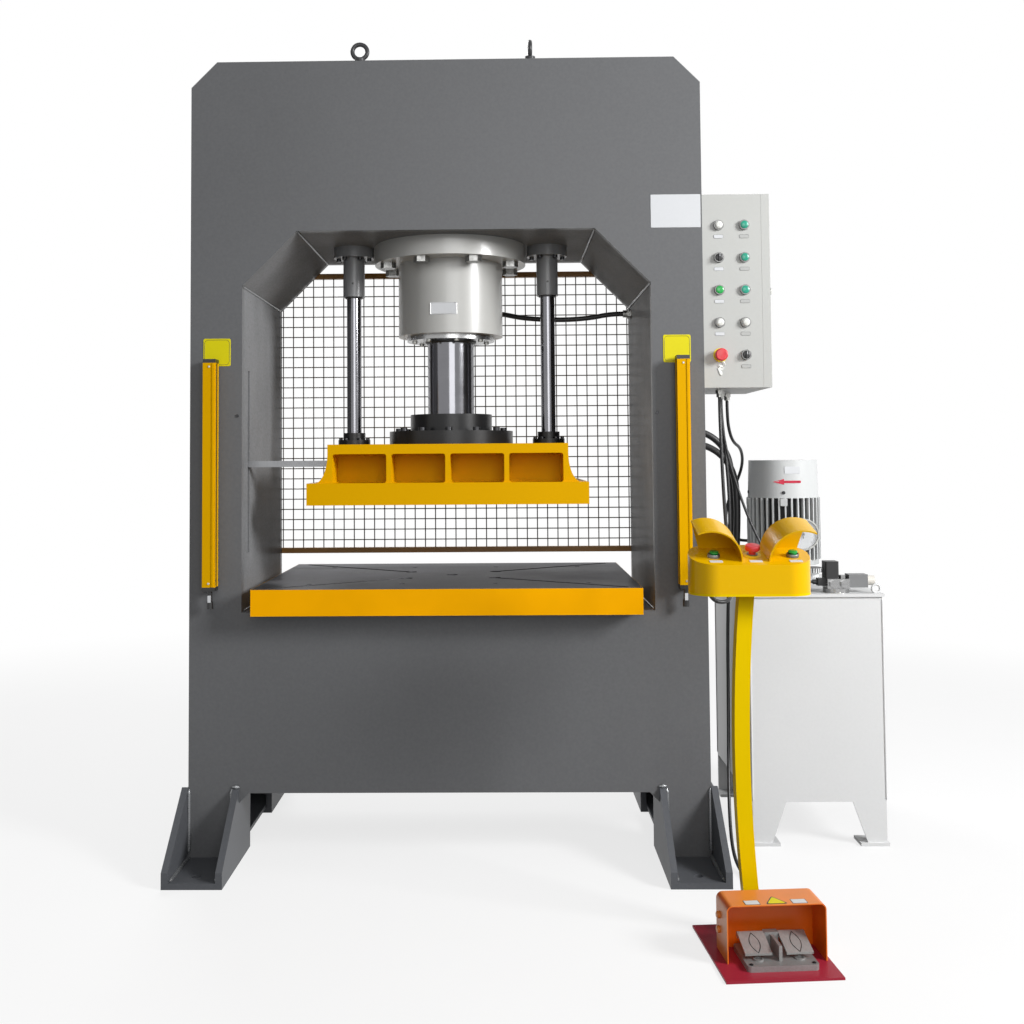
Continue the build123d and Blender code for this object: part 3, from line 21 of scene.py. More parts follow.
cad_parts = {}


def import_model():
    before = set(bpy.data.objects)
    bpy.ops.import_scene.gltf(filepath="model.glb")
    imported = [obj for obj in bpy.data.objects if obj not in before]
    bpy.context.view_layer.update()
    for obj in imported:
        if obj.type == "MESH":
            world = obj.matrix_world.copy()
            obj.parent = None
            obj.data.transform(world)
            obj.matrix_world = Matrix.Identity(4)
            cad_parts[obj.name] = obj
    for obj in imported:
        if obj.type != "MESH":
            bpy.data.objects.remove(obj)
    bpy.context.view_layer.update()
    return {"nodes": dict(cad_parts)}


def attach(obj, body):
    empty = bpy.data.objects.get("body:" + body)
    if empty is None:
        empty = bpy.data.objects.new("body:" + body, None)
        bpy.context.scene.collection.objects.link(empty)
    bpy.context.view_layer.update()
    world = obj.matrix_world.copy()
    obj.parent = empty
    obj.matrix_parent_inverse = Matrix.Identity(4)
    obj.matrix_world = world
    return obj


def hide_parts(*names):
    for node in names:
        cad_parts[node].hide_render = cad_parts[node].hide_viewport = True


LOG = logging.getLogger("press")

Vec = Tuple[float, float, float]
Colour = Tuple[float, float, float, float]
Point = Sequence[float]
Profile = Sequence[Tuple[float, float]]
Shape = Tuple[np.ndarray, List[Tuple[int, ...]]]

UP = np.array([0.0, 0.0, 1.0])
FRONT = np.array([0.0, -1.0, 0.0])
RIGHT = np.array([1.0, 0.0, 0.0])
BOTH = (-1.0, 1.0)
WHITE = (1.0, 1.0, 1.0, 1.0)

# Rays that see floor and surround white; the other rays get their dimmer light
WHITE_RAYS = ("Is Camera Ray", "Is Glossy Ray", "Is Transmission Ray")


def tone(red: int, green: int, blue: int) -> Colour:
    """Turn an 8-bit display colour into the linear colour that shaders take.

    Args:
        red, green, blue: display values from 0 to 255.

    Returns:
        Linear red, green, blue and full alpha.
    """
    share = np.array([red, green, blue]) / 255.0
    linear = np.where(share <= 0.04045, share / 12.92, ((share + 0.055) / 1.055) ** 2.4)
    return (float(linear[0]), float(linear[1]), float(linear[2]), 1.0)


def shaded(colour: Colour, factor: float, lift: float = 0.0) -> Colour:
    """Darker or lighter form of a colour, no brighter than white.

    Args:
        colour: linear colour.
        factor: what each part is multiplied by.
        lift: what is then added to each part.

    Returns:
        The new colour with full alpha.
    """
    return tuple(min(part * factor + lift, 1.0) for part in colour[:3]) + (1.0,)


# Shader expressions


class Sock:
    """One node output, with the operators that shader expressions use."""

    def __init__(self, recipe: "Recipe", socket: bpy.types.NodeSocket) -> None:
        """Keep the recipe that owns the node and the socket itself."""
        self.recipe = recipe
        self.socket = socket

    def _math(self, operation: str, *terms: Union["Sock", float]) -> "Sock":
        """Add one Math node over the given terms."""
        return self.recipe.node("ShaderNodeMath", {"operation": operation}, dict(enumerate(terms)))

    def __add__(self, other: Union["Sock", float]) -> "Sock":
        """Sum of two values."""
        return self._math("ADD", self, other)

    def __radd__(self, other: float) -> "Sock":
        """Sum with a number on the left."""
        return self._math("ADD", other, self)

    def __sub__(self, other: Union["Sock", float]) -> "Sock":
        """Difference of two values."""
        return self._math("SUBTRACT", self, other)

    def __rsub__(self, other: float) -> "Sock":
        """Difference with a number on the left."""
        return self._math("SUBTRACT", other, self)

    def __mul__(self, other: Union["Sock", float]) -> "Sock":
        """Product of two values."""
        return self._math("MULTIPLY", self, other)

    def __rmul__(self, other: float) -> "Sock":
        """Product with a number on the left."""
        return self._math("MULTIPLY", other, self)

    def __abs__(self) -> "Sock":
        """Size of a value without its sign."""
        return self._math("ABSOLUTE", self)

    def over(self, limit: float) -> "Sock":
        """1 where the value is above the limit, else 0."""
        return self._math("GREATER_THAN", self, limit)

    def under(self, limit: float) -> "Sock":
        """1 where the value is below the limit, else 0."""
        return self._math("LESS_THAN", self, limit)

    def either(self, other: "Sock") -> "Sock":
        """The larger of two masks."""
        return self._math("MAXIMUM", self, other)

    def fade(self, low: float, high: float) -> "Sock":
        """Smooth rise from 0 at low to 1 at high."""
        return self.recipe.node(
            "ShaderNodeMapRange",
            {"interpolation_type": "SMOOTHSTEP", "clamp": True},
            {"Value": self, "From Min": low, "From Max": high, "To Min": 0.0, "To Max": 1.0},
        )

    def blend(self, low: Union["Sock", Colour], high: Union["Sock", Colour]) -> "Sock":
        """Colour between low and high, with this value as the share of high."""
        return self.recipe.node("ShaderNodeMix", {"data_type": "RGBA"}, {0: self, 6: low, 7: high}, out=2)


class Recipe:
    """Node tree of a material or a world, written as expressions on object coordinates."""

    SHADERS = ("ShaderNodeBsdfPrincipled", "ShaderNodeBackground")
    OUTPUTS = ("ShaderNodeOutputMaterial", "ShaderNodeOutputWorld")

    def __init__(self, owner: Union[bpy.types.Material, bpy.types.World]) -> None:
        """Find the shader and the output node that a new material or world starts with."""
        owner.use_nodes = True
        self.tree = owner.node_tree
        self.shader = next(node for node in self.tree.nodes if node.bl_idname in self.SHADERS)
        self.output = next(node for node in self.tree.nodes if node.bl_idname in self.OUTPUTS)
        self._place: Optional[Sock] = None

    def node(
        self,
        kind: str,
        settings: Optional[Dict[str, Any]] = None,
        inputs: Optional[Dict[Union[str, int], Any]] = None,
        out: Union[str, int] = 0,
    ) -> Sock:
        """Add one node.

        Args:
            kind: the node's type name.
            settings: properties that are set first.
            inputs: values or Sock links by socket name or number.
            out: the output that is returned.

        Returns:
            The chosen output as a Sock.
        """
        made = self.tree.nodes.new(kind)
        for key, value in (settings or {}).items():
            setattr(made, key, value)
        for key, value in (inputs or {}).items():
            self.feed(made.inputs[key], value)
        return Sock(self, made.outputs[out])

    def feed(self, target: bpy.types.NodeSocket, value: Any) -> None:
        """Link a Sock to an input, or set the input's own value."""
        if isinstance(value, Sock):
            self.tree.links.new(value.socket, target)
        else:
            target.default_value = value

    def place(self) -> Sock:
        """Object coordinates, which are the press's own metres."""
        if self._place is None:
            self._place = self.node("ShaderNodeTexCoord", out="Object")
        return self._place

    def axes(self, place: Optional[Sock] = None) -> List[Sock]:
        """X, Y and Z of a place, or of the object coordinates if none is given."""
        split = self.node("ShaderNodeSeparateXYZ", inputs={0: place or self.place()}).socket.node
        return [Sock(self, output) for output in split.outputs]

    def noise(self, scale: Union[float, Vec], detail: float = 3.0, rough: float = 0.55) -> Sock:
        """Cloudy pattern from 0 to 1, with one scale or its own scale along each axis."""
        scales = scale if isinstance(scale, tuple) else (scale,) * 3
        mapped = {"Vector": self.place(), "Scale": scales}
        spot = self.node("ShaderNodeMapping", {"vector_type": "POINT"}, mapped)
        inputs = {"Vector": spot, "Scale": 1.0, "Detail": detail, "Roughness": rough}
        return self.node("ShaderNodeTexNoise", inputs=inputs)

    def bump(self, height: Sock, strength: float, distance: float) -> Sock:
        """Normal that is disturbed by a height pattern."""
        inputs = {"Height": height, "Strength": strength, "Distance": distance}
        return self.node("ShaderNodeBump", inputs=inputs)

    def white_rays(self) -> Sock:
        """1 for the rays that see floor and surround white, else 0."""
        camera, gloss, glass = (self.node("ShaderNodeLightPath", out=kind) for kind in WHITE_RAYS)
        return camera.either(gloss).either(glass)

    def cover(self, share: Sock, second: Sock) -> None:
        """Mix a second shader with the first one, by the share of the second."""
        first = Sock(self, self.shader.outputs[0])
        mixed = self.node("ShaderNodeMixShader", inputs={0: share, 1: first, 2: second})
        self.feed(self.output.inputs["Surface"], mixed)

    def put(self, **sockets: Any) -> None:
        """Set or link sockets of the first shader, with _ for a space in the name."""
        for name, value in sockets.items():
            self.feed(self.shader.inputs[name.replace("_", " ")], value)


# Finishes


@dataclass(frozen=True)
class Finish:
    """A named surface finish that can be made into a material."""

    name: str

    def make(self) -> bpy.types.Material:
        """Build the material."""
        material = bpy.data.materials.new(self.name)
        self.write(Recipe(material))
        return material

    def write(self, recipe: Recipe) -> None:
        """Fill in the recipe, each kind of finish in its own way."""
        raise NotImplementedError


@dataclass(frozen=True)
class Paint(Finish):
    """Sprayed enamel: soft clouds of tone, fine specks and a slight orange peel."""

    colour: Colour
    rough: float = 0.4
    clouds: float = 0.10
    specks: float = 0.06
    peel: float = 0.08
    coat: float = 0.0
    peel_scale: float = 320.0
    cloud_scale: float = 2.2
    gloss: float = 0.5

    def write(self, recipe: Recipe) -> None:
        """Vary tone and roughness by clouds and specks."""
        clouds = recipe.noise(self.cloud_scale, 4.0)
        specks = recipe.noise(110.0, 2.0)
        level = 1.0 + (clouds - 0.5) * (2.0 * self.clouds) + (specks - 0.5) * (2.0 * self.specks)
        dark = shaded(self.colour, 0.5)
        light = shaded(self.colour, 1.5)
        recipe.put(
            Base_Color=(level - 0.5).blend(dark, light),
            Roughness=self.rough + (clouds - 0.5) * 0.16 + (specks - 0.5) * 0.08,
            Normal=recipe.bump(recipe.noise(self.peel_scale, 1.0), self.peel, 0.0006),
            Coat_Weight=self.coat,
            Coat_Roughness=0.12,
            Specular_IOR_Level=self.gloss,
        )


@dataclass(frozen=True)
class BrushedPaint(Finish):
    """Hand-brushed enamel on the opening's walls, with a hatch of brush marks."""

    colour: Colour
    rough: float = 0.34

    def write(self, recipe: Recipe) -> None:
        """Cross coarse marks with a fine hatch."""
        hatch = recipe.noise((150.0, 60.0, 150.0), 2.0, 0.7)
        marks = recipe.noise((30.0, 9.0, 30.0), 3.0, 0.6)
        clouds = recipe.noise((2.6, 2.6, 1.4), 3.0)
        dark = shaded(self.colour, 0.78)
        light = shaded(self.colour, 1.28)
        recipe.put(
            Base_Color=(clouds * 0.6 + hatch * 0.4).fade(0.3, 0.72).blend(dark, light),
            Roughness=self.rough + (marks - 0.5) * 0.16 + (hatch - 0.5) * 0.2,
            Normal=recipe.bump(marks * 0.4 + hatch * 0.6, 0.14, 0.0016),
            Specular_IOR_Level=0.006,
        )


@dataclass(frozen=True)
class Metal(Finish):
    """Bare or plated metal with fine lines drawn along one axis."""

    colour: Colour
    rough: float = 0.28
    lines: Union[float, Vec] = (30.0, 30.0, 900.0)
    depth: float = 0.06
    stain: float = 0.16
    metallic: float = 1.0

    def write(self, recipe: Recipe) -> None:
        """Stain the metal in clouds and along its lines."""
        lines = recipe.noise(self.lines, 2.0, 0.7)
        clouds = recipe.noise(6.0, 4.0, 0.6)
        dark = shaded(self.colour, 1.0 - 2.0 * self.stain)
        recipe.put(
            Base_Color=(clouds * 0.6 + lines * 0.4).fade(0.28, 0.66).blend(dark, self.colour),
            Roughness=self.rough + (lines - 0.5) * 0.2 + (clouds - 0.5) * 0.16,
            Metallic=self.metallic,
            Normal=recipe.bump(lines, self.depth, 0.0004),
        )


@dataclass(frozen=True)
class Plastic(Finish):
    """Moulded plastic or rubber with a fine grain and slight tone change."""

    colour: Colour
    rough: float = 0.35
    grain: float = 0.1
    coat: float = 0.0

    def write(self, recipe: Recipe) -> None:
        """Vary tone and roughness by the grain."""
        grain = recipe.noise(700.0, 2.0)
        clouds = recipe.noise(40.0, 3.0)
        dark = shaded(self.colour, 0.75)
        light = shaded(self.colour, 1.18, 0.004)
        recipe.put(
            Base_Color=(clouds * 0.7 + grain * 0.3).fade(0.25, 0.75).blend(dark, light),
            Roughness=self.rough + (grain - 0.5) * 0.14,
            Normal=recipe.bump(grain, self.grain, 0.0003),
            Coat_Weight=self.coat,
            Coat_Roughness=0.08,
        )


@dataclass(frozen=True)
class TableFinish(Finish):
    """Ground steel top with crossed grinding marks and oil stains; painted edges."""

    steel: Colour
    edge: Colour
    half_width: float = 0.602
    half_depth: float = 0.420
    rim: float = 0.0006

    def write(self, recipe: Recipe) -> None:
        """Paint what lies at the edges and grind the rest."""
        across, along, _ = recipe.axes()
        ends = abs(across).over(self.half_width - self.rim)
        outside = ends.either(abs(along).over(self.half_depth - self.rim))
        grind = recipe.noise((9.0, 420.0, 9.0), 2.0, 0.7)
        cross = recipe.noise((380.0, 14.0, 9.0), 2.0, 0.7)
        stains = recipe.noise((5.0, 7.0, 5.0), 5.0, 0.62)
        dark = shaded(self.steel, 0.45)
        light = shaded(self.steel, 2.2)
        top = (stains * 0.55 + grind * 0.3 + cross * 0.15).fade(0.3, 0.68).blend(dark, light)
        yellow_dark = shaded(self.edge, 0.88)
        side = recipe.noise(3.0, 3.0).fade(0.3, 0.7).blend(yellow_dark, self.edge)
        recipe.put(
            Base_Color=outside.blend(top, side),
            Metallic=(1.0 - outside) * 0.7,
            Roughness=0.36 + (stains - 0.5) * 0.4 + (grind - 0.5) * 0.16,
            Specular_IOR_Level=0.1,
            Specular_Tint=(0.3, 0.3, 0.31, 1.0),
            Normal=recipe.bump((grind * 0.7 + cross * 0.3) * (1.0 - outside), 0.12, 0.0005),
        )


@dataclass(frozen=True)
class BoltFinish(Finish):
    """Fasteners of the frame: bright heads round the cylinder, black ones elsewhere."""

    bright: Colour
    black: Colour
    reach: float = 0.262
    level: float = 2.2

    def write(self, recipe: Recipe) -> None:
        """Choose bright or black by the place in the frame."""
        across, _, height = recipe.axes()
        near = abs(across).under(self.reach) * height.under(self.level)
        wear = recipe.noise(90.0, 3.0)
        shade = shaded(self.bright, 0.55)
        recipe.put(
            Base_Color=near.blend(self.black, wear.fade(0.3, 0.6).blend(shade, self.bright)),
            Metallic=0.3 + near * 0.6,
            Roughness=0.36 + (wear - 0.5) * 0.2,
        )


@dataclass(frozen=True)
class FinFinish(Finish):
    """Motor enamel: pale on the fins' tips, with painted shade dark between the fins, where their valleys lie
    in shade.
    """

    tip: Colour
    valley_shade: Colour
    axis: Tuple[float, float]
    low: float
    high: float

    def write(self, recipe: Recipe) -> None:
        """Fade from the painted valley shade to the tip by the distance from the motor's axis."""
        east, north, _ = recipe.axes()
        across, along = east - self.axis[0], north - self.axis[1]
        jitter = recipe.noise((30.0, 30.0, 12.0), 3.0)
        # Painted shade: darker towards the fins' roots, where the valleys between them lie in shade; a little
        # noise softens the edge
        reach = (across * across + along * along + (jitter - 0.5) * 0.002).fade(self.low ** 2, self.high ** 2)
        recipe.put(
            Base_Color=reach.blend(self.valley_shade, self.tip),
            Roughness=0.62 - reach * 0.22 + (jitter - 0.5) * 0.1,
            Normal=recipe.bump(recipe.noise(320.0, 1.0), 0.08, 0.0006),
            Specular_IOR_Level=0.3,
        )


@dataclass(frozen=True)
class HoodFinish(Finish):
    """Moulded hood: orange outside, with painted shade inside: a deeper, redder tone where the inside is in
    its own shade.
    """

    outside: Colour
    inside_shade: Colour
    pivot: Vec
    turn: float
    half: float
    top: float
    depth: float
    skin: float = 0.0015

    def write(self, recipe: Recipe) -> None:
        """Tell the painted inside shade from the orange outside, in the hood's own turned axes."""
        shift = recipe.node(
            "ShaderNodeMapping",
            {"vector_type": "TEXTURE"},
            {"Vector": recipe.place(), "Location": self.pivot, "Rotation": (0.0, 0.0, self.turn)},
        )
        across, behind, height = recipe.axes(shift)
        # Painted shade: what lies within the hood's walls, below its top and in front of its back takes the
        # deeper inside tone
        inside_shade_mask = abs(across).under(self.half - self.skin) * height.under(self.top - self.skin)
        inside_shade_mask = inside_shade_mask * behind.under(self.depth - self.skin)
        grain = recipe.noise(260.0, 2.0)
        clouds = recipe.noise(9.0, 3.0)
        dark = shaded(self.outside, 0.9)
        recipe.put(
            Base_Color=inside_shade_mask.blend(clouds.fade(0.3, 0.7).blend(dark, self.outside), self.inside_shade),
            Roughness=0.34 + (clouds - 0.5) * 0.12 + (grain - 0.5) * 0.1,
            Normal=recipe.bump(grain, 0.08, 0.0004),
            Specular_IOR_Level=0.4,
        )


@dataclass(frozen=True)
class CoilFinish(Finish):
    """Solenoid: black moulded coil and plug, grey coil body, pale end cap."""

    black: Colour
    grey: Colour
    pale: Colour
    grey_from: float
    pale_from: float

    def write(self, recipe: Recipe) -> None:
        """Change the colour along the valve."""
        across, _, _ = recipe.axes()
        grain = recipe.noise(420.0, 2.0)
        body = across.over(self.grey_from).blend(self.black, self.grey)
        shade = shaded(self.pale, 0.8)
        recipe.put(
            Base_Color=across.over(self.pale_from).blend(body, grain.fade(0.2, 0.8).blend(shade, self.pale)),
            Roughness=0.42 + (grain - 0.5) * 0.2,
            Normal=recipe.bump(grain, 0.12, 0.0004),
        )


@dataclass(frozen=True)
class GearFinish(Finish):
    """Switchgear: zinc plate and rails behind dark moulded modules."""

    plate: Colour
    module: Colour
    module_from: float

    def write(self, recipe: Recipe) -> None:
        """Band the modules and leave the plate behind them plain."""
        across, _, _ = recipe.axes()
        module = across.over(self.module_from)
        inputs = {"Vector": recipe.place(), "Scale": 9.0}
        band = recipe.node("ShaderNodeTexWave", {"bands_direction": "Z"}, inputs)
        pale = shaded(self.module, 2.4)
        recipe.put(
            Base_Color=module.blend(self.plate, band.fade(0.7, 0.9).blend(self.module, pale)),
            Metallic=(1.0 - module) * 0.8,
            Roughness=0.4 + (recipe.noise(60.0) - 0.5) * 0.2,
        )


@dataclass(frozen=True)
class Clear(Finish):
    """Thin clear window."""

    alpha: float = 0.16

    def write(self, recipe: Recipe) -> None:
        """Smear the window slightly."""
        smear = recipe.noise(30.0, 3.0)
        recipe.put(
            Base_Color=(0.9, 0.92, 0.92, 1.0),
            Roughness=0.03 + smear * 0.05,
            Alpha=self.alpha + (smear - 0.5) * 0.06,
        )


class Finishes:
    """The finishes of the press, each made once when it is first asked for."""

    BOOK: Dict[str, Finish] = {
        "frame": Paint("frame_grey", tone(97, 98, 100), 0.42, 0.10, 0.12, 0.10, gloss=0.3),
        "foot": Paint("foot_grey", tone(84, 86, 90), 0.44, 0.16, 0.14, 0.10, gloss=0.25),
        "liner": BrushedPaint("liner_grey", tone(120, 121, 123)),
        "bush": Paint("bush_grey", tone(130, 131, 133), 0.32, 0.06, 0.04, 0.06),
        "yellow": Paint("signal_yellow", tone(253, 168, 0), 0.36, 0.05, 0.02, 0.05, 0.0, gloss=0.03),
        "station": Paint("station_yellow", tone(252, 174, 0), 0.24, 0.05, 0.02, 0.04, 0.08, gloss=0.1),
        "pole": Paint("pole_yellow", tone(255, 190, 0), 0.36, 0.04, 0.02, 0.04, 0.0, gloss=0.04),
        "cylinder": Paint("cylinder_grey", tone(180, 180, 177), 0.34, 0.05, 0.02, 0.05, 0.2),
        "panel": Paint("panel_grey", tone(182, 183, 180), 0.46, 0.03, 0.03, 0.22, 0.0, 620.0),
        "tank": Paint("tank_grey", tone(213, 216, 218), 0.44, 0.04, 0.03, 0.12),
        "motor": Paint("motor_grey", tone(196, 198, 198), 0.36, 0.06, 0.03, 0.08, 0.15),
        # Motor fins: pale tips over dark painted shade in the valleys between them
        "fins": FinFinish("motor_fins_painted_shade", tone(200, 202, 202), tone(40, 41, 42), (1.162, 0.112), 0.104, 0.1235),
        "red_plate": Paint("plate_red", tone(150, 34, 52), 0.4, 0.08, 0.05, 0.08, gloss=0.25),
        "orange": Paint("knob_orange", tone(226, 130, 52), 0.3, 0.05, 0.03, 0.06, 0.2),
        # Hood: orange outside, with a deeper painted shade tone inside
        "hood": HoodFinish(
            "hood_orange_painted_shade", tone(228, 132, 52), tone(214, 96, 8), (0.846, -1.042, 0.0),
            math.radians(4.5), 0.126, 0.146, 0.1,
        ),
        "guard": Paint("rail_ochre", tone(150, 104, 36), 0.42, 0.2, 0.08, 0.08),
        "wire": Paint("wire_brown", tone(72, 60, 44), 0.45, 0.3, 0.1, 0.05),
        "black": Paint("black_steel", tone(24, 24, 25), 0.3, 0.2, 0.1, 0.05, gloss=0.35),
        "bolt": Metal("black_bolt", tone(66, 66, 68), 0.34, 60.0, 0.04),
        "frame_bolt": BoltFinish("frame_fasteners", tone(160, 160, 158), tone(48, 48, 50)),
        "steel": Metal("machined_steel", tone(176, 176, 176), 0.26),
        "zinc": Metal("zinc_plate", tone(188, 188, 184), 0.34, 90.0, 0.06),
        "arm": Metal("flat_bar", tone(150, 151, 153), 0.4, (600.0, 30.0, 30.0), 0.05, 0.14, 0.7),
        "chrome": Metal("hard_chrome", tone(126, 126, 130), 0.13, (12.0, 12.0, 1400.0), 0.01, 0.08),
        "cast": Metal("cast_aluminium", tone(152, 151, 150), 0.5, 240.0, 0.14, 0.12, 0.55),
        "tread": Metal("tread_aluminium", tone(178, 178, 176), 0.42, (240.0, 60.0, 240.0), 0.1, 0.12, 0.5),
        "weld": Metal("weld_bead", tone(150, 152, 154), 0.3, 260.0, 0.2, 0.2, 0.6),
        "bezel": Metal("satin_bezel", tone(134, 134, 133), 0.4, 300.0, 0.03, 0.12, 0.7),
        "table": TableFinish("ground_table", tone(78, 78, 80), tone(254, 178, 0)),
        "coil": CoilFinish(
            "solenoid", tone(30, 30, 31), tone(120, 121, 122), tone(226, 222, 214), 1.307, 1.369
        ),
        "gear": GearFinish("switchgear", tone(168, 170, 170), tone(58, 60, 62), 0.8425),
        "rubber": Plastic("black_rubber", tone(27, 27, 28), 0.46, 0.16),
        "jacket": Plastic("cable_jacket", tone(30, 30, 31), 0.38, 0.1),
        "soft_black": Plastic("black_plastic", tone(26, 26, 27), 0.38, 0.1),
        "teal": Plastic("teal_cap", tone(0, 150, 122), 0.3, 0.04, 0.3),
        "green": Plastic("green_cap", tone(0, 158, 66), 0.26, 0.04, 0.3),
        "red": Plastic("red_cap", tone(206, 40, 52), 0.34, 0.05, 0.2),
        "lamp": Plastic("lamp_lens", tone(226, 227, 222), 0.2, 0.02, 0.4),
        "label": Paint("white_label", tone(206, 208, 211), 0.5, 0.02, 0.02, 0.03),
        "legend": Paint("grey_legend", tone(172, 173, 171), 0.5, 0.03, 0.03, 0.04),
        "sign": Paint("sign_yellow", tone(238, 208, 6), 0.42, 0.03, 0.03, 0.03, gloss=0.2),
        "ring": Plastic("stop_ring", tone(238, 214, 30), 0.42, 0.05),
        "arrow": Plastic("arrow_red", tone(200, 24, 60), 0.42, 0.05),
        "clear": Clear("gauge_window"),
    }

    def __init__(self) -> None:
        """Start with no material made."""
        self.made: Dict[str, bpy.types.Material] = {}

    def get(self, key: str) -> bpy.types.Material:
        """Material of one finish."""
        if key not in self.made:
            self.made[key] = self.BOOK[key].make()
        return self.made[key]


# Surfaces


def full_turn(count: int) -> np.ndarray:
    """Angles of that many points, evenly round a circle."""
    return np.linspace(0.0, 2.0 * math.pi, count, endpoint=False)


def rounded(straight: Point, radius: float) -> np.ndarray:
    """Rectangle outline with quarter-circle corners, counter-clockwise.

    Args:
        straight: half the width and half the height, both without the corners.
        radius: corner radius.

    Returns:
        Points across and up from the middle.
    """
    quarter = np.linspace(0.0, math.pi / 2, 5)
    angle = np.concatenate([quarter + turn * math.pi / 2 for turn in range(4)])
    signs = np.repeat([(1, 1), (-1, 1), (-1, -1), (1, -1)], 5, 0)
    return signs * np.asarray(straight) + radius * np.stack([np.cos(angle), np.sin(angle)], -1)


def loft(rings: np.ndarray, closed_path: bool = False) -> Shape:
    """Skin over a stack of closed rings, with flat caps at an open stack's ends.

    The surface is S(i, j): ring i carried to ring i + 1, point j round the ring.

    Args:
        rings: array of rings, points and coordinates.
        closed_path: whether the last ring joins the first.

    Returns:
        Vertices and faces.
    """
    count, around = rings.shape[:2]
    number = np.arange(count * around).reshape(count, around)
    low = number if closed_path else number[:-1]
    high = np.roll(number, -1, 0) if closed_path else number[1:]
    faces = np.stack([low, np.roll(low, -1, 1), np.roll(high, -1, 1), high], -1).reshape(-1, 4)
    listed = [tuple(face) for face in faces.tolist()]
    if not closed_path:
        listed += [tuple(number[0, ::-1].tolist()), tuple(number[-1].tolist())]
    return rings.reshape(-1, 3), listed


def frame_of(normal: Point) -> Tuple[np.ndarray, np.ndarray, np.ndarray]:
    """Two axes across a normal, the first as level as it can be, and the normal."""
    out = np.array(normal, float) / np.linalg.norm(normal)
    side = np.cross(UP, out) if abs(out[2]) < 0.95 else RIGHT
    side = side / np.linalg.norm(side)
    return side, np.cross(out, side), out


def spokes(normal: Point, sides: int) -> Tuple[np.ndarray, np.ndarray]:
    """Unit directions evenly round a normal, and the normal."""
    side, rise, out = frame_of(normal)
    angle = full_turn(sides)
    return np.outer(np.cos(angle), side) + np.outer(np.sin(angle), rise), out


def turned(centre: Point, normal: Point, profile: Profile, sides: int = 20) -> Shape:
    """Profile turned about a normal: S(t, a) = centre + r(t) (cos a, sin a) + h(t) normal.

    Args:
        centre: point on the axis at height 0.
        normal: the axis.
        profile: radius and height pairs, from one end to the other.
        sides: points round the axis.

    Returns:
        Vertices and faces.
    """
    round_, out = spokes(normal, sides)
    table = np.array(profile, float)
    rings = table[:, 0, None, None] * round_[None] + table[:, 1, None, None] * out + np.array(centre, float)
    return loft(rings)


def hoop(centre: Point, profile: Profile, normal: Point = FRONT, sides: int = 36) -> Shape:
    """Closed profile turned about a normal: S(a, t) = centre + r(t) (cos a, sin a) + h(t) normal.

    Args:
        centre: point on the axis.
        profile: closed loop of radius and height pairs.
        normal: the axis.
        sides: points round the axis.

    Returns:
        Vertices and faces.
    """
    round_, out = spokes(normal, sides)
    table = np.array(profile, float)
    rings = round_[:, None] * table[None, :, :1] + table[None, :, 1:] * out + np.array(centre, float)
    return loft(rings, True)


def dished(centre: Point, normal: Point, radius: float) -> Shape:
    """Raised disc on a stop button: a shallow dome h(r) = 0.6 mm (1 - (r / R)^2)."""
    profile = [(radius * part, 0.0006 * (1.0 - part * part)) for part in np.linspace(1.0, 0.03, 6)]
    return turned(centre, normal, profile, 24)


def plate(
    centre: Point,
    normal: Point,
    size: Tuple[float, float],
    thick: float,
    corner: float = 0.002,
    across: Optional[Point] = None,
) -> Shape:
    """Flat plate with rounded corners and a softened front edge.

    Its outline is a rectangle with quarter-circle corners; five rings carry it from
    the back, up the edge and over a small bevel to the flat front.

    Args:
        centre: middle of the back.
        normal: outward normal.
        size: width and height.
        thick: thickness.
        corner: corner radius.
        across: direction of the width, level by default.

    Returns:
        Vertices and faces.
    """
    side, rise, out = frame_of(normal)
    if across is not None:
        side = np.array(across, float)
        rise = np.cross(out, side)
    bevel = min(thick * 0.4, corner * 0.5)
    edge = [(0.0, 0.0), (0.0, thick - bevel), (bevel * 0.3, thick - bevel * 0.3)]
    rings = []
    for inset, height in edge + [(bevel, thick), (bevel * 1.6, thick)]:
        flat = rounded(np.array(size) / 2 - corner, corner - inset)
        rings.append(np.array(centre, float) + flat[:, :1] * side + flat[:, 1:] * rise + height * out)
    return loft(np.array(rings))


def rod(
    path: Sequence[Point], radius: Union[float, np.ndarray], sides: int = 10, closed: bool = False
) -> Shape:
    """Round section carried along a path: S(t, a) = P(t) + r(t) (cos a U(t) + sin a V(t)).

    Args:
        path: points of the path.
        radius: one radius, or one for each point.
        sides: points round the section.
        closed: whether the path is a loop.

    Returns:
        Vertices and faces.
    """
    points = np.array(path, float)
    if closed:
        along = np.roll(points, -1, 0) - np.roll(points, 1, 0)
    else:
        along = np.gradient(points, axis=0)
    along /= np.linalg.norm(along, axis=1)[:, None]
    helper = np.where(np.abs(along[:, 2:3]) < 0.9, UP[None], RIGHT[None])
    side = np.cross(helper, along)
    side /= np.linalg.norm(side, axis=1)[:, None]
    rise = np.cross(along, side)
    angle = full_turn(sides)
    reach = np.broadcast_to(np.asarray(radius, float), (len(points),))
    round_ = np.cos(angle)[None, :, None] * side[:, None] + np.sin(angle)[None, :, None] * rise[:, None]
    return loft(points[:, None] + reach[:, None, None] * round_, closed)


def bead(start: Point, end: Point, radius: float, pitch: float = 0.005) -> Shape:
    """Weld bead between two points: a rod whose radius ripples along its length.

    r(t) = R (0.86 + 0.14 |sin(pi t / pitch)|), drawn to a point at each end.

    Args:
        start, end: ends of the seam.
        radius: height of the bead.
        pitch: length of one ripple.

    Returns:
        Vertices and faces.
    """
    first, last = np.array(start, float), np.array(end, float)
    length = float(np.linalg.norm(last - first))
    share = np.linspace(0.0, 1.0, max(int(length / pitch * 3), 8))
    ripple = 0.86 + 0.14 * np.abs(np.sin(math.pi * share * length / pitch))
    taper = np.minimum(1.0, np.minimum(share, 1.0 - share) * length / (2.0 * radius) + 0.25)
    return rod(first + share[:, None] * (last - first), radius * ripple * taper, 8)


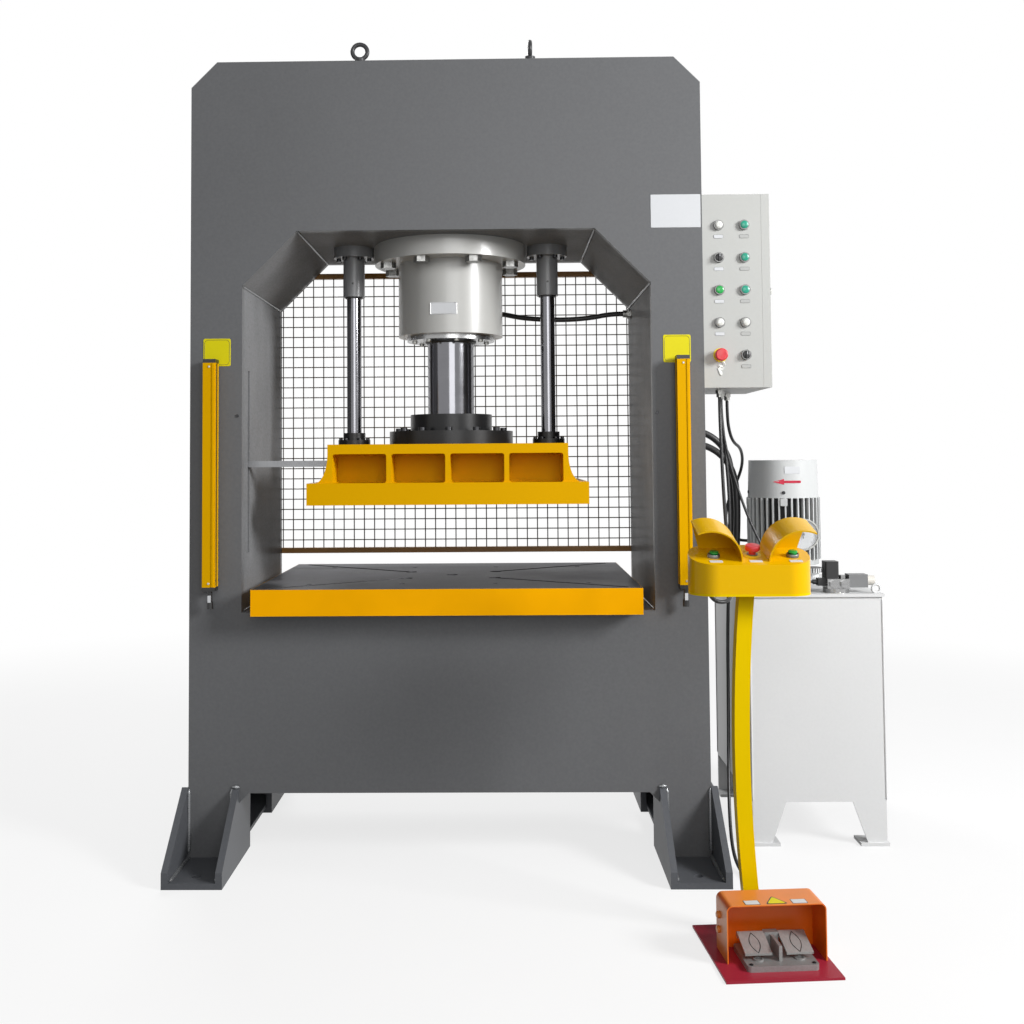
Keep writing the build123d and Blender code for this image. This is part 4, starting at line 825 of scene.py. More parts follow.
def screw(centre: Point, normal: Point, radius: float, height: float) -> Shape:
    """Round screw head with a chamfer and a sunk socket.

    Args:
        centre: foot of the head.
        normal: direction that the head faces.
        radius: radius of the head.
        height: height of the head.

    Returns:
        Vertices and faces.
    """
    profile = [(radius, 0.0), (radius, height * 0.75), (radius * 0.86, height), (radius * 0.5, height)]
    profile += [(radius * 0.46, height * 0.5), (radius * 0.02, height * 0.45)]
    return turned(centre, normal, profile, 14)


def wrapped(centre: Vec, radius: float, outline: np.ndarray, thick: float, turn: float = 0.0) -> Shape:
    """Flat outline wrapped round an upright cylinder.

    A point (u, v) of the outline goes to angle turn + u / radius and height v.

    Args:
        centre: point on the cylinder's axis at height 0 of the outline.
        radius: radius of the cylinder.
        outline: closed outline, as points in metres; u to the right, v up, seen from the front.
        thick: thickness outwards.
        turn: angle from the front, in radians.

    Returns:
        Vertices and faces.
    """
    angle = turn + outline[:, 0] / radius
    out = np.stack([np.sin(angle), -np.cos(angle), np.zeros_like(angle)], -1)
    level = outline[:, 1:2] * UP
    rings = [np.array(centre) + out * (radius + height) + level for height in (0.0, thick)]
    return loft(np.array(rings))


def outline_box(width: float, height: float, steps: int = 10) -> np.ndarray:
    """Rectangle outline with points along its long sides, counter-clockwise."""
    across = np.linspace(-width / 2, width / 2, steps)
    low = np.stack([across, np.full(steps, -height / 2)], -1)
    return np.concatenate([low, low[::-1] * [1.0, -1.0]])


class Maker:
    """Puts shapes into Blender objects that ride on a body."""

    SMOOTH_UP_TO = math.radians(40.0)

    def __init__(self, finishes: Finishes) -> None:
        """Keep the finishes."""
        self.finishes = finishes

    def piece(self, name: str, shapes: Sequence[Shape], finish: str, body: str) -> bpy.types.Object:
        """Make one object of several shapes.

        Args:
            name: object name.
            shapes: vertices and faces of each shape.
            finish: key of the finish.
            body: CAD body that it rides on.

        Returns:
            The object.
        """
        points: List[np.ndarray] = []
        faces: List[Tuple[int, ...]] = []
        start = 0
        for vertices, polygons in shapes:
            points.append(vertices)
            faces += [tuple(corner + start for corner in polygon) for polygon in polygons]
            start += len(vertices)
        mesh = bpy.data.meshes.new(name)
        mesh.from_pydata(np.concatenate(points).tolist(), [], faces)
        work = bmesh.new()
        work.from_mesh(mesh)
        bmesh.ops.recalc_face_normals(work, faces=work.faces)
        work.to_mesh(mesh)
        work.free()
        mesh.shade_smooth()
        mesh.set_sharp_from_angle(angle=self.SMOOTH_UP_TO)
        made = bpy.data.objects.new(name, mesh)
        bpy.context.scene.collection.objects.link(made)
        mesh.materials.append(self.finishes.get(finish))
        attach(made, body)
        LOG.info("piece %s on %s", name, body)
        return made


@dataclass
class SubAssembly:
    """Shared ways of a sub-assembly: its maker, and the nodes that it dresses."""

    maker: Maker
    nodes: Dict[str, bpy.types.Object]

    def dress(self, finish: str, *names: str) -> None:
        """Give CAD nodes a finish.

        Args:
            finish: key of the finish.
            names: node names.
        """
        for name in names:
            mesh = self.nodes[name].data
            mesh.materials.clear()
            mesh.materials.append(self.maker.finishes.get(finish))
            LOG.info("node %s in %s", name, finish)

    def add(self, name: str, shapes: Sequence[Shape], finish: str, body: str = "frame") -> None:
        """Add one small piece, on the fixed frame unless another body is given."""
        self.maker.piece(name, shapes, finish, body)


# Sub-assemblies

# Radius and height pairs of turned pieces: wipers and oil holes
ROD_WIPER = [(0.0812, 0.0), (0.088, 0.0), (0.088, -0.004), (0.083, -0.007), (0.0812, -0.007)]
GUIDE_WIPER = [(0.0262, 0.0), (0.031, 0.0), (0.030, -0.004), (0.0262, -0.005)]
OIL_HOLE = [(0.0036, 0.0), (0.0036, 0.0007), (0.0002, 0.0007)]

# Radius and height pairs of stop buttons, keys, pins, dials, caps and knobs
PANEL_STOP_RING = [(0.0148, 0.0), (0.0225, 0.0), (0.0225, 0.0012), (0.0148, 0.0016)]
HAND_STOP_RING = [(0.0148, 0.0), (0.0235, 0.0), (0.0235, 0.0014), (0.0148, 0.002)]
KEY_BOW = [(0.008, 0.0), (0.008, 0.0022), (0.003, 0.0024)]
HINGE_PIN = [(0.0048, 0.0), (0.0048, 0.003), (0.003, 0.0042)]
DIAL_PLATE = [(0.0482, 0.0), (0.0482, 0.0006), (0.001, 0.0006)]
DIAL_WINDOW = [(0.0482, 0.0), (0.0482, 0.0012), (0.001, 0.0016)]
FILLER_LID = [(0.034, 0.0), (0.034, 0.002), (0.026, 0.0034), (0.001, 0.0034)]
HOOD_KNOB = [(0.009, 0.0), (0.009, 0.006), (0.006, 0.008), (0.001, 0.008)]

# Radius of a stop button's disc and its distance from the panel's face
STOP_DISC = 0.0125
STOP_RISE = 0.0285

# Radius and height pairs of the control heads, from the panel's face outwards
CONTROL_RIM = [(0.0127, 0.004), (0.0163, 0.0), (0.0163, 0.0075), (0.0153, 0.009), (0.0127, 0.009)]
CONTROL_CAP = [(0.0088, 0.0074), (0.0088, 0.0083), (0.0123, 0.0083)]
CONTROL_CAP += [(0.0123, 0.0108), (0.0112, 0.0116), (0.0006, 0.0116)]
LAMP_LENS = [(0.0091, 0.0088), (0.0123, 0.0088), (0.0123, 0.011)]
LAMP_LENS += [(0.0105, 0.0135), (0.006, 0.0148), (0.0006, 0.0152)]
SELECTOR_DISC = [(0.0088, 0.0074), (0.0123, 0.0074), (0.0123, 0.0098), (0.0108, 0.0108), (0.0006, 0.0108)]


@dataclass
class Portal(SubAssembly):
    """Welded frame: plates, liner, feet, lifting eyes, table and rear guard."""

    half_opening: float = 0.650
    crown: float = 1.984
    haunch: float = 0.175
    half_inner: float = 0.300
    front: float = -0.330
    bed: float = 0.775
    leg_in: float = 0.675
    leg_out: float = 0.815
    foot_front: float = 0.550
    foot_top: float = 0.018
    liner_sink: float = 0.0014
    liner_bead: float = 0.0034
    seam_past: float = 0.026
    seam_short: float = 0.004
    bed_rise: float = 0.002
    bed_bead: float = 0.004
    foot_sink: float = 0.003
    nose_short: float = 0.012
    foot_bead: Tuple[float, float] = (0.0065, 0.007)
    gusset: Tuple[float, float] = (0.03, 0.228)
    blob_bead: Tuple[float, float] = (0.008, 0.006)
    blob_level: float = 0.235
    blob_in: float = 0.010
    blob_out: float = 0.004
    blob_half: float = 0.012
    sign: Tuple[float, float] = (0.7295, 1.597)
    sign_size: Tuple[float, float] = (0.087, 0.088)
    sign_thick: float = 0.0014
    sign_corner: float = 0.006
    border_half: float = 0.0395
    border_reach: float = 0.0515
    border_wire: float = 0.0006
    placard: Tuple[float, float] = (0.7315, 2.0355)
    placard_size: Tuple[float, float] = (0.158, 0.106)
    placard_thick: float = 0.0012
    face_screw: Tuple[float, float] = (0.664, 1.395)
    face_screw_head: Tuple[float, float] = (0.005, 0.003)

    def build(self) -> None:
        """Dress the nodes and add seams and bare plates."""
        self.dress("frame", "front_plate", "rear_plate", "outer_band")
        self.dress("foot", "feet")
        self.dress("liner", "opening_liner")
        self.dress("frame_bolt", "frame_bolts")
        self.dress("table", "table")
        self.dress("guard", "guard_frame")
        self.dress("wire", "guard_mesh")
        self.add("liner_seams", self.liner_seams(), "weld")
        self.add("foot_seams", self.foot_seams(), "weld")
        self.add("sign_plates", self.sign_plates(), "sign")
        self.add("sign_borders", self.sign_borders(), "soft_black")
        spot = (self.placard[0], self.front, self.placard[1])
        self.add("placard", [plate(spot, FRONT, self.placard_size, self.placard_thick)], "label")
        spots = [(side * self.face_screw[0], self.front, self.face_screw[1]) for side in BOTH]
        self.add("face_screws", [screw(spot, FRONT, *self.face_screw_head) for spot in spots], "bolt")

    @staticmethod
    def level_bead(across: float, ends: Tuple[float, float], level: float, *size: float) -> Shape:
        """Bead that runs level from front to rear, of a given radius and pitch."""
        return bead((across, ends[0], level), (across, ends[1], level), *size)

    def liner_seams(self) -> List[Shape]:
        """Beads where the haunches meet the walls and the crown plate, and along the bed."""
        shapes = []
        ends = (-self.half_inner - self.seam_past, self.half_inner - self.seam_short)
        bed_ends = (-self.half_inner, self.half_inner)
        wall = (self.half_opening, self.crown - self.haunch)
        roof = (self.half_opening - self.haunch, self.crown)
        for side in BOTH:
            for across, level in (wall, roof):
                line = side * (across - self.liner_sink)
                shapes.append(self.level_bead(line, ends, level - self.liner_sink, self.liner_bead))
            corner = side * (self.half_opening - self.liner_sink)
            shapes.append(self.level_bead(corner, bed_ends, self.bed + self.bed_rise, self.bed_bead))
        return shapes

    def foot_seams(self) -> List[Shape]:
        """Beads inside each foot and the blobs at the gussets' tops."""
        shapes = []
        for side, end in product(BOTH, BOTH):
            face, nose = -end * self.front, end * self.foot_front
            wall = face + end * self.foot_sink
            for across in (self.leg_in + self.foot_sink, self.leg_out - self.foot_sink):
                upright = [(side * across, wall, level) for level in self.gusset]
                shapes.append(bead(*upright, *self.foot_bead))
                ends = (face, nose - end * self.nose_short)
                level = self.foot_top + self.foot_sink
                shapes.append(self.level_bead(side * across, ends, level, *self.foot_bead))
            middle, behind = side * (self.leg_in - self.blob_in), face + end * self.blob_out
            blob = [(middle + way * self.blob_half, behind, self.blob_level) for way in BOTH]
            shapes.append(bead(*blob, *self.blob_bead))
        return shapes

    def sign_plates(self) -> List[Shape]:
        """Bare square plates above the light curtains."""
        spots = [(side * self.sign[0], self.front, self.sign[1]) for side in BOTH]
        return [plate(spot, FRONT, self.sign_size, self.sign_thick, self.sign_corner) for spot in spots]

    def sign_borders(self) -> List[Shape]:
        """Thin rim line near the edge of each bare plate."""
        shapes = []
        angle = full_turn(48)
        reach = self.border_half / np.maximum(np.abs(np.cos(angle)), np.abs(np.sin(angle)))
        reach = np.minimum(reach, self.border_reach)
        face = np.full_like(angle, self.front - self.sign_thick)
        for side in BOTH:
            across = side * self.sign[0] + reach * np.cos(angle)
            loop = np.stack([across, face, self.sign[1] + reach * np.sin(angle)], -1)
            shapes.append(rod(loop, self.border_wire, 6, True))
        return shapes


@dataclass
class Ram(SubAssembly):
    """Press cylinder, guides, platen and their flanges."""

    barrel_radius: float = 0.179
    guide_x: float = 0.335
    bush_radius: float = 0.037
    plate_level: float = 1.752
    plate_turn: float = -0.09
    plate_size: Tuple[float, float] = (0.092, 0.040)
    plate_thick: float = 0.0012
    rim_size: Tuple[float, float] = (0.088, 0.036)
    rim_rise: float = 0.0013
    rim_wire: float = 0.0005
    oil_level: float = 1.859
    oil_sink: float = 0.0004
    bush_foot: float = 1.814
    gland_level: float = 1.656
    gland_circle: float = 0.125
    gland_turn: float = 0.2
    gland_head: Tuple[float, float] = (0.009, 0.007)

    def build(self) -> None:
        """Dress the nodes and add the plate on the barrel and the small marks."""
        self.dress("cylinder", "cylinder_barrel")
        self.dress("steel", "gland_ring")
        self.dress("chrome", "piston_rod", "guide_rods")
        self.dress("bush", "guide_bushes")
        self.dress("yellow", "platen")
        self.dress("black", "platen_flanges")
        self.dress("bolt", "platen_bolts")
        self.dress("arm", "limit_arm")
        outline = outline_box(*self.plate_size, 14)
        middle = (0.0, 0.0, self.plate_level)
        name_plate = wrapped(middle, self.barrel_radius, outline, self.plate_thick, self.plate_turn)
        self.add("barrel_plate", [name_plate], "label")
        self.add("barrel_plate_rim", [self.plate_rim()], "zinc")
        face = -self.bush_radius + self.oil_sink
        spots = [(side * self.guide_x, face, self.oil_level) for side in BOTH]
        self.add("bush_oil_holes", [turned(spot, FRONT, OIL_HOLE, 12) for spot in spots], "soft_black")
        self.add("gland_screws", self.gland_screws(), "zinc")
        self.add("rod_rings", self.rod_rings(), "rubber")

    def plate_rim(self) -> Shape:
        """Thin raised border of the plate on the barrel."""
        outline = outline_box(*self.rim_size, 14)
        angle = self.plate_turn + outline[:, 0] / self.barrel_radius
        reach = self.barrel_radius + self.rim_rise
        level = self.plate_level + outline[:, 1]
        path = np.stack([np.sin(angle) * reach, -np.cos(angle) * reach, level], -1)
        return rod(path, self.rim_wire, 6, True)

    def gland_screws(self) -> List[Shape]:
        """Ring of cap screws under the gland plate."""
        shapes = []
        for angle in full_turn(8) + self.gland_turn:
            across, along = self.gland_circle * math.cos(angle), self.gland_circle * math.sin(angle)
            shapes.append(screw((across, along, self.gland_level), -UP, *self.gland_head))
        return shapes

    def rod_rings(self) -> List[Shape]:
        """Wiper rings round the rod and the guide rods."""
        shapes = [hoop((0.0, 0.0, self.gland_level), ROD_WIPER, UP, 48)]
        spots = [(side * self.guide_x, 0.0, self.bush_foot) for side in BOTH]
        return shapes + [hoop(spot, GUIDE_WIPER, UP, 48) for spot in spots]


@dataclass
class Curtains(SubAssembly):
    """Light curtains on the columns, with their windows, screws and plug tags."""

    offset: float = 0.741
    half_width: float = 0.020
    front: float = -0.384
    bottom: float = 0.860
    top: float = 1.560
    window_sink: float = 0.004
    window_front: float = -0.363
    window_width: float = 0.0212
    window_thick: float = 0.0018
    ridge_offset: float = 0.013
    ridge_width: float = 0.007
    ridge_thick: float = 0.0022
    ridge_short: float = 0.002
    edge_corner: float = 0.001
    tag_place: Tuple[float, float] = (-0.3735, 0.823)
    tag_size: Tuple[float, float] = (0.010, 0.022)
    tag_thick: float = 0.0008
    screw_inset: float = 0.012
    screw_head: Tuple[float, float] = (0.0035, 0.002)

    def build(self) -> None:
        """Dress the bars and add their small pieces."""
        self.dress("yellow", "light_curtains")
        self.dress("soft_black", "curtain_fittings")
        windows, ridges, tags = [], [], []
        middle = (self.bottom + self.top) / 2
        length = self.top - self.bottom
        for side in BOTH:
            inner = side * (self.offset - self.half_width + self.window_sink)
            spot = (inner, self.window_front, middle)
            size = (self.window_width, length - self.window_sink)
            windows.append(plate(spot, (-side, 0.0, 0.0), size, self.window_thick, self.edge_corner))
            spot = (side * self.offset + self.ridge_offset, self.front, middle)
            size = (self.ridge_width, length - self.ridge_short)
            ridges.append(plate(spot, FRONT, size, self.ridge_thick, self.edge_corner))
            spot = (side * self.offset, *self.tag_place)
            tags.append(plate(spot, FRONT, self.tag_size, self.tag_thick, self.edge_corner))
        self.add("curtain_windows", windows, "soft_black")
        self.add("curtain_ridges", ridges, "yellow")
        self.add("plug_tags", tags, "label")
        levels = (self.bottom + self.screw_inset, self.top - self.screw_inset)
        spots = [(side * self.offset, self.front, level) for side, level in product(BOTH, levels)]
        self.add("curtain_screws", [screw(spot, FRONT, *self.screw_head) for spot in spots], "zinc")


@dataclass
class ControlBox(SubAssembly):
    """Control box with its labels, rings and door trim."""

    columns: Tuple[float, float] = (0.866, 0.947)
    front: float = -0.330
    top_row: float = 1.988
    pitch: float = 0.1033
    rows: int = 5
    stop: Tuple[int, int] = (0, 4)
    legend_drop: float = 0.036
    legend_size: Tuple[float, float] = (0.031, 0.012)
    legend_thick: float = 0.0009
    legend_corner: float = 0.004
    rim_straight: Tuple[float, float] = (0.0115, 0.002)
    rim_corner: float = 0.0035
    rim_wire: float = 0.0003
    pointer_size: Tuple[float, float] = (0.0018, 0.009)
    pointer_thick: float = 0.0006
    pointer_out: float = 0.0205
    pointer_up: float = 0.005
    door_face: float = 1.00125
    door_low: Tuple[float, float] = (-0.322, 1.480)
    door_high: Tuple[float, float] = (0.062, 2.079)
    gasket_radius: float = 0.0022
    hinge: Tuple[float, float] = (1.001, 0.079)
    hinge_levels: Tuple[float, float] = (1.542, 1.949)

    def build(self) -> None:
        """Dress the nodes and add label plates, pointers and the stop ring."""
        self.dress("panel", "box_shell", "box_door")
        self.dress("gear", "switchgear")
        self.dress("bezel", "control_bezels")
        self.dress("lamp", "pilot_lamps")
        self.dress("teal", "green_button_1", "green_button_2", "green_button_4")
        self.dress("green", "green_button_3")
        self.dress("soft_black", "selector_1", "selector_2")
        self.dress("red", "panel_estop")
        self.dress("zinc", "door_lock", "hose_glands")
        self.add("legend_plates", self.legends(0), "label")
        self.add("legend_plates_right", self.legends(1), "legend")
        self.add("legend_rims", self.legend_rims(), "bolt")
        stop = self.spot(*self.stop)
        self.add("panel_stop_ring", [hoop(stop, PANEL_STOP_RING)], "ring")
        self.add("selector_pointer_1", [self.pointer(0, 1)], "label", "selector_1")
        self.add("selector_pointer_2", [self.pointer(1, 4)], "label", "selector_2")
        disc = dished(stop + FRONT * STOP_RISE, FRONT, STOP_DISC)
        self.add("stop_dish", [disc], "red", "panel_estop")
        self.add("stop_tie", self.tie(), "zinc")
        self.add("door_gasket", [self.gasket()], "rubber")
        self.add("hinge_pins", self.hinge_pins(), "zinc")
        self.heads()

    def spot(self, column: int, row: int) -> np.ndarray:
        """Middle of one control on the panel's face."""
        return np.array([self.columns[column], self.front, self.top_row - row * self.pitch])

    def places(self, column: int) -> List[Tuple[int, int]]:
        """Columns and rows of one column's controls, without the stop button."""
        return [(column, row) for row in range(self.rows) if (column, row) != self.stop]

    def legends(self, column: int) -> List[Shape]:
        """Small bare plates under one column of controls."""
        spots = [self.spot(*place) - self.legend_drop * UP for place in self.places(column)]
        size, thick, corner = self.legend_size, self.legend_thick, self.legend_corner
        return [plate(spot, FRONT, size, thick, corner) for spot in spots]

    def heads(self) -> None:
        """Rims round the controls, wide caps on the buttons, lenses and turning discs."""
        rims = [hoop(self.spot(*place), CONTROL_RIM) for place in self.places(0) + self.places(1)]
        self.add("control_rims", rims, "bezel")
        for number, place in enumerate(((1, 0), (1, 1), (0, 2), (1, 2)), start=1):
            cap = turned(self.spot(*place), FRONT, CONTROL_CAP, 32)
            finish = "green" if number == 3 else "teal"
            self.add(f"button_cap_{number}", [cap], finish, f"green_button_{number}")
        lenses = [turned(self.spot(*place), FRONT, LAMP_LENS, 32) for place in ((0, 0), (0, 3), (1, 3))]
        self.add("lamp_lenses", lenses, "lamp")
        for number, place in enumerate(((0, 1), (1, 4)), start=1):
            disc = turned(self.spot(*place), FRONT, SELECTOR_DISC, 32)
            self.add(f"selector_disc_{number}", [disc], "soft_black", f"selector_{number}")

    def legend_rims(self) -> List[Shape]:
        """Thin dark line round each small plate: a rounded rectangle swept by a fine rod."""
        shapes = []
        flat = rounded(self.rim_straight, self.rim_corner)
        for place in self.places(0) + self.places(1):
            middle = self.spot(*place) + self.legend_thick * FRONT - self.legend_drop * UP
            path = middle + flat[:, :1] * RIGHT + flat[:, 1:] * UP
            shapes.append(rod(path, self.rim_wire, 4, True))
        return shapes

    def pointer(self, column: int, row: int) -> Shape:
        """White line on a selector's lever."""
        spot = self.spot(column, row) + self.pointer_out * FRONT + self.pointer_up * UP
        return plate(spot, FRONT, self.pointer_size, self.pointer_thick, self.pointer_thick)

    def tie(self) -> List[Shape]:
        """Wire loop with its key under the stop button."""
        across, front, level = self.spot(*self.stop)
        turn = full_turn(24)
        loop_across = across + 0.004 + 0.008 * np.cos(turn)
        loop_level = level - 0.029 + 0.010 * np.sin(turn)
        loop = np.stack([loop_across, np.full_like(turn, front - 0.004), loop_level], -1)
        blade = (across - 0.002, front - 0.0005, level - 0.052)
        key = plate(blade, FRONT, (0.008, 0.026), 0.002, 0.003, (0.94, 0.0, 0.34))
        grip = (across + 0.003, front - 0.0005, level - 0.040)
        bow = turned(grip, FRONT, KEY_BOW, 16)
        return [rod(loop, 0.0009, 6, True), key, bow]

    def gasket(self) -> Shape:
        """Rubber strip in the gap round the door."""
        low, high = self.door_low, self.door_high
        corners = [low, (high[0], low[1]), high, (low[0], high[1])]
        path = np.array([(self.door_face, *corner) for corner in corners])
        sides = zip(path, np.roll(path, -1, 0))
        loop = np.concatenate([np.linspace(start, end, 12, endpoint=False) for start, end in sides])
        return rod(loop, self.gasket_radius, 6, True)

    def hinge_pins(self) -> List[Shape]:
        """Pin heads on the two door hinges."""
        return [turned((*self.hinge, level), -UP, HINGE_PIN, 14) for level in self.hinge_levels]


@dataclass
class PowerUnit(SubAssembly):
    """Tank, motor, valves and gauge."""

    motor: Tuple[float, float] = (1.162, 0.112)
    lug_turn: float = -0.22
    cowl_radius: float = 0.119
    gauge: Vec = (1.187, -0.040, 0.990)
    arrow_level: float = 1.166
    arrow_thick: float = 0.0006
    arrow_rise: float = 0.0008
    arrow_turn: float = -0.10
    note_level: float = 1.206
    note_size: Tuple[float, float] = (0.052, 0.024)
    note_thick: float = 0.001
    note_sink: float = 0.0004
    note_turn: float = 0.04
    dial_plate_out: float = 0.0111
    dial_marks_out: float = 0.0117
    dial_window_out: float = 0.0172
    lid_top: float = 0.806

    def build(self) -> None:
        """Dress the nodes and add the arrow, screws, dial and seams."""
        self.dress("tank", "tank", "tank_lid")
        self.dress("motor", "fan_cowl")
        self.dress("fins", "motor_housing")
        self.dress("soft_black", "motor_fan", "gauge_needle")
        self.dress("steel", "valve_block")
        self.dress("coil", "solenoid_valve")
        self.dress("zinc", "gauge_case")
        middle, radius = self.on_axis(self.arrow_level), self.cowl_radius + self.arrow_rise
        arrow = wrapped(middle, radius, self.arrow(), self.arrow_thick, self.arrow_turn)
        self.add("turn_arrow", [arrow], "arrow")
        middle, radius = self.on_axis(self.note_level), self.cowl_radius - self.note_sink
        note = wrapped(middle, radius, outline_box(*self.note_size), self.note_thick, self.note_turn)
        self.add("cowl_plate", [note], "label")
        self.add("cowl_screws", self.cowl_screws(), "bolt")
        self.add("motor_lugs", self.motor_lugs(), "motor")
        self.add("lid_screws", self.lid_screws(), "zinc")
        dial = turned(self.at_dial(self.dial_plate_out), FRONT, DIAL_PLATE, 48)
        self.add("dial_plate", [dial], "label")
        self.add("dial_marks", self.dial_marks(), "soft_black")
        window = turned(self.at_dial(self.dial_window_out), FRONT, DIAL_WINDOW, 48)
        self.add("dial_window", [window], "clear")
        self.add("tank_seams", self.tank_seams(), "tank")
        self.add("filler_ribs", self.filler_ribs(), "soft_black")

    def at_dial(self, forward: float) -> np.ndarray:
        """Point on the gauge's axis, that far in front of its middle."""
        return np.array(self.gauge) + FRONT * forward

    @staticmethod
    def arrow() -> np.ndarray:
        """Outline of a plain arrow that points left."""
        tail = np.linspace(0.046, -0.012, 12)
        low = np.stack([tail, np.full(12, -0.0042)], -1)
        high = np.stack([tail[::-1], np.full(12, 0.0042)], -1)
        tip = np.array([(-0.012, -0.010), (-0.030, -0.005), (-0.050, 0.0), (-0.030, 0.005), (-0.012, 0.010)])
        return np.concatenate([low, tip, high])[::-1]

    def on_axis(self, level: float) -> Vec:
        """Point on the motor's axis."""
        return (*self.motor, level)

    def cowl_screws(self) -> List[Shape]:
        """Screws low on the fan cowl, at quarter turns."""
        shapes = []
        for turn in (self.lug_turn, math.pi / 2, math.pi, -math.pi / 2):
            out = np.array([math.sin(turn), -math.cos(turn), 0.0])
            shapes.append(screw(self.on_axis(1.129) + out * 0.1203, out, 0.006, 0.003))
        return shapes

    def motor_lugs(self) -> List[Shape]:
        """Blocks under the cowl that its screws go into."""
        shapes = []
        for turn in (self.lug_turn, math.pi / 2, -math.pi / 2):
            out = np.array([math.sin(turn), -math.cos(turn), 0.0])
            shapes.append(plate(self.on_axis(1.096) + out * 0.105, out, (0.024, 0.026), 0.0215, 0.003))
        return shapes

    def lid_screws(self) -> List[Shape]:
        """Screws round the rim of the lid."""
        across = np.array([0.99, 1.13, 1.27, 1.388])
        along = np.array([0.0, 0.16, 0.30])
        spots = [(x, y, self.lid_top) for x in across for y in (-0.170, 0.410) if (x, y) != (1.388, -0.170)]
        spots += [(x, y, self.lid_top) for x in (0.985, 1.395) for y in along]
        return [screw(spot, UP, 0.006, 0.004) for spot in spots]

    def dial_marks(self) -> List[Shape]:
        """Scale marks on the dial, longer at every fifth."""
        shapes = []
        for index, turn in enumerate(np.radians(np.linspace(-135.0, 135.0, 41))):
            length = 0.008 if index % 5 == 0 else 0.0045
            toward = np.array([math.sin(turn), 0.0, math.cos(turn)])
            spot = self.at_dial(self.dial_marks_out) + toward * (0.043 - length / 2)
            level = np.array([math.cos(turn), 0.0, -math.sin(turn)])
            shapes.append(plate(spot, FRONT, (0.0009, length), 0.0004, 0.0002, level))
        return shapes

    def tank_seams(self) -> List[Shape]:
        """Painted weld seams up the tank's corners."""
        corners = product((0.975, 1.405), (-0.180, 0.420))
        return [bead((*corner, 0.145), (*corner, 0.790), 0.003, 0.009) for corner in corners]

    def filler_ribs(self) -> List[Shape]:
        """Grip ribs round the filler cap."""
        centre = np.array([1.321, 0.336, self.lid_top + 0.0185])
        shapes = []
        for angle in full_turn(24):
            foot = centre + np.array([math.cos(angle), math.sin(angle), 0.0]) * 0.0352
            shapes.append(rod([foot + UP * height for height in (0.0, 0.0075, 0.015)], 0.0016, 6))
        shapes.append(turned(centre + UP * 0.0155, UP, FILLER_LID, 32))
        return shapes


@dataclass
class Station(SubAssembly):
    """Two-hand case on its pole."""

    centre: float = 0.827
    shift: float = 0.009
    spread: float = 0.104
    front: float = -0.950
    edge: float = 0.975
    slope: float = math.radians(15.0)
    label_up: float = 0.026
    label_size: Tuple[float, float] = (0.034, 0.014)
    label_thick: float = 0.0012
    stop_up: float = 0.074
    button_up: float = 0.062
    cap_rise: float = 0.004

    def build(self) -> None:
        """Dress the nodes and add label plates, the stop ring and screws."""
        self.dress("station", "two_hand_case")
        self.dress("pole", "pedestal_pole")
        self.dress("green", "two_hand_button_left", "two_hand_button_right")
        self.dress("red", "two_hand_estop")
        self.dress("red_plate", "pedestal_base")
        normal = self.normal()
        spots = [self.on_panel(across, self.label_up) for across in (-self.spread, 0.0, self.spread)]
        labels = [plate(spot, normal, self.label_size, self.label_thick, across=RIGHT) for spot in spots]
        self.add("hand_labels", labels, "label")
        stop = self.on_panel(0.0, self.stop_up)
        self.add("hand_stop_ring", [hoop(stop, HAND_STOP_RING, normal)], "ring")
        disc = dished(stop + normal * STOP_RISE, normal, STOP_DISC)
        self.add("hand_stop_dish", [disc], "red", "two_hand_estop")
        under = [(self.centre + across, self.front + 0.075, 0.893) for across in (-0.12, 0.12)]
        screws = [screw(spot, -UP, 0.006, 0.004) for spot in under]
        places = product((-0.045, 0.045), (-0.870, -0.825))
        base = [(self.centre + across, along, 0.006) for across, along in places]
        screws += [screw(spot, UP, 0.007, 0.005) for spot in base]
        self.add("station_screws", screws, "zinc")
        rims = []
        for name, across in (("left", -self.spread), ("right", self.spread)):
            spot = self.on_panel(across, self.button_up)
            rims.append(hoop(spot, CONTROL_RIM, normal))
            cap = turned(spot + normal * self.cap_rise, normal, CONTROL_CAP, 32)
            self.add(f"hand_cap_{name}", [cap], "green", f"two_hand_button_{name}")
        self.add("hand_rims", rims, "bezel")

    def normal(self) -> np.ndarray:
        """Outward normal of the sloped panel."""
        return np.array([0.0, -math.sin(self.slope), math.cos(self.slope)])

    def on_panel(self, across: float, up_slope: float) -> np.ndarray:
        """Point of the panel, across from its middle and up its slope."""
        edge = np.array([self.centre + self.shift + across, self.front, self.edge])
        return edge + up_slope * np.array([0.0, math.cos(self.slope), math.sin(self.slope)])


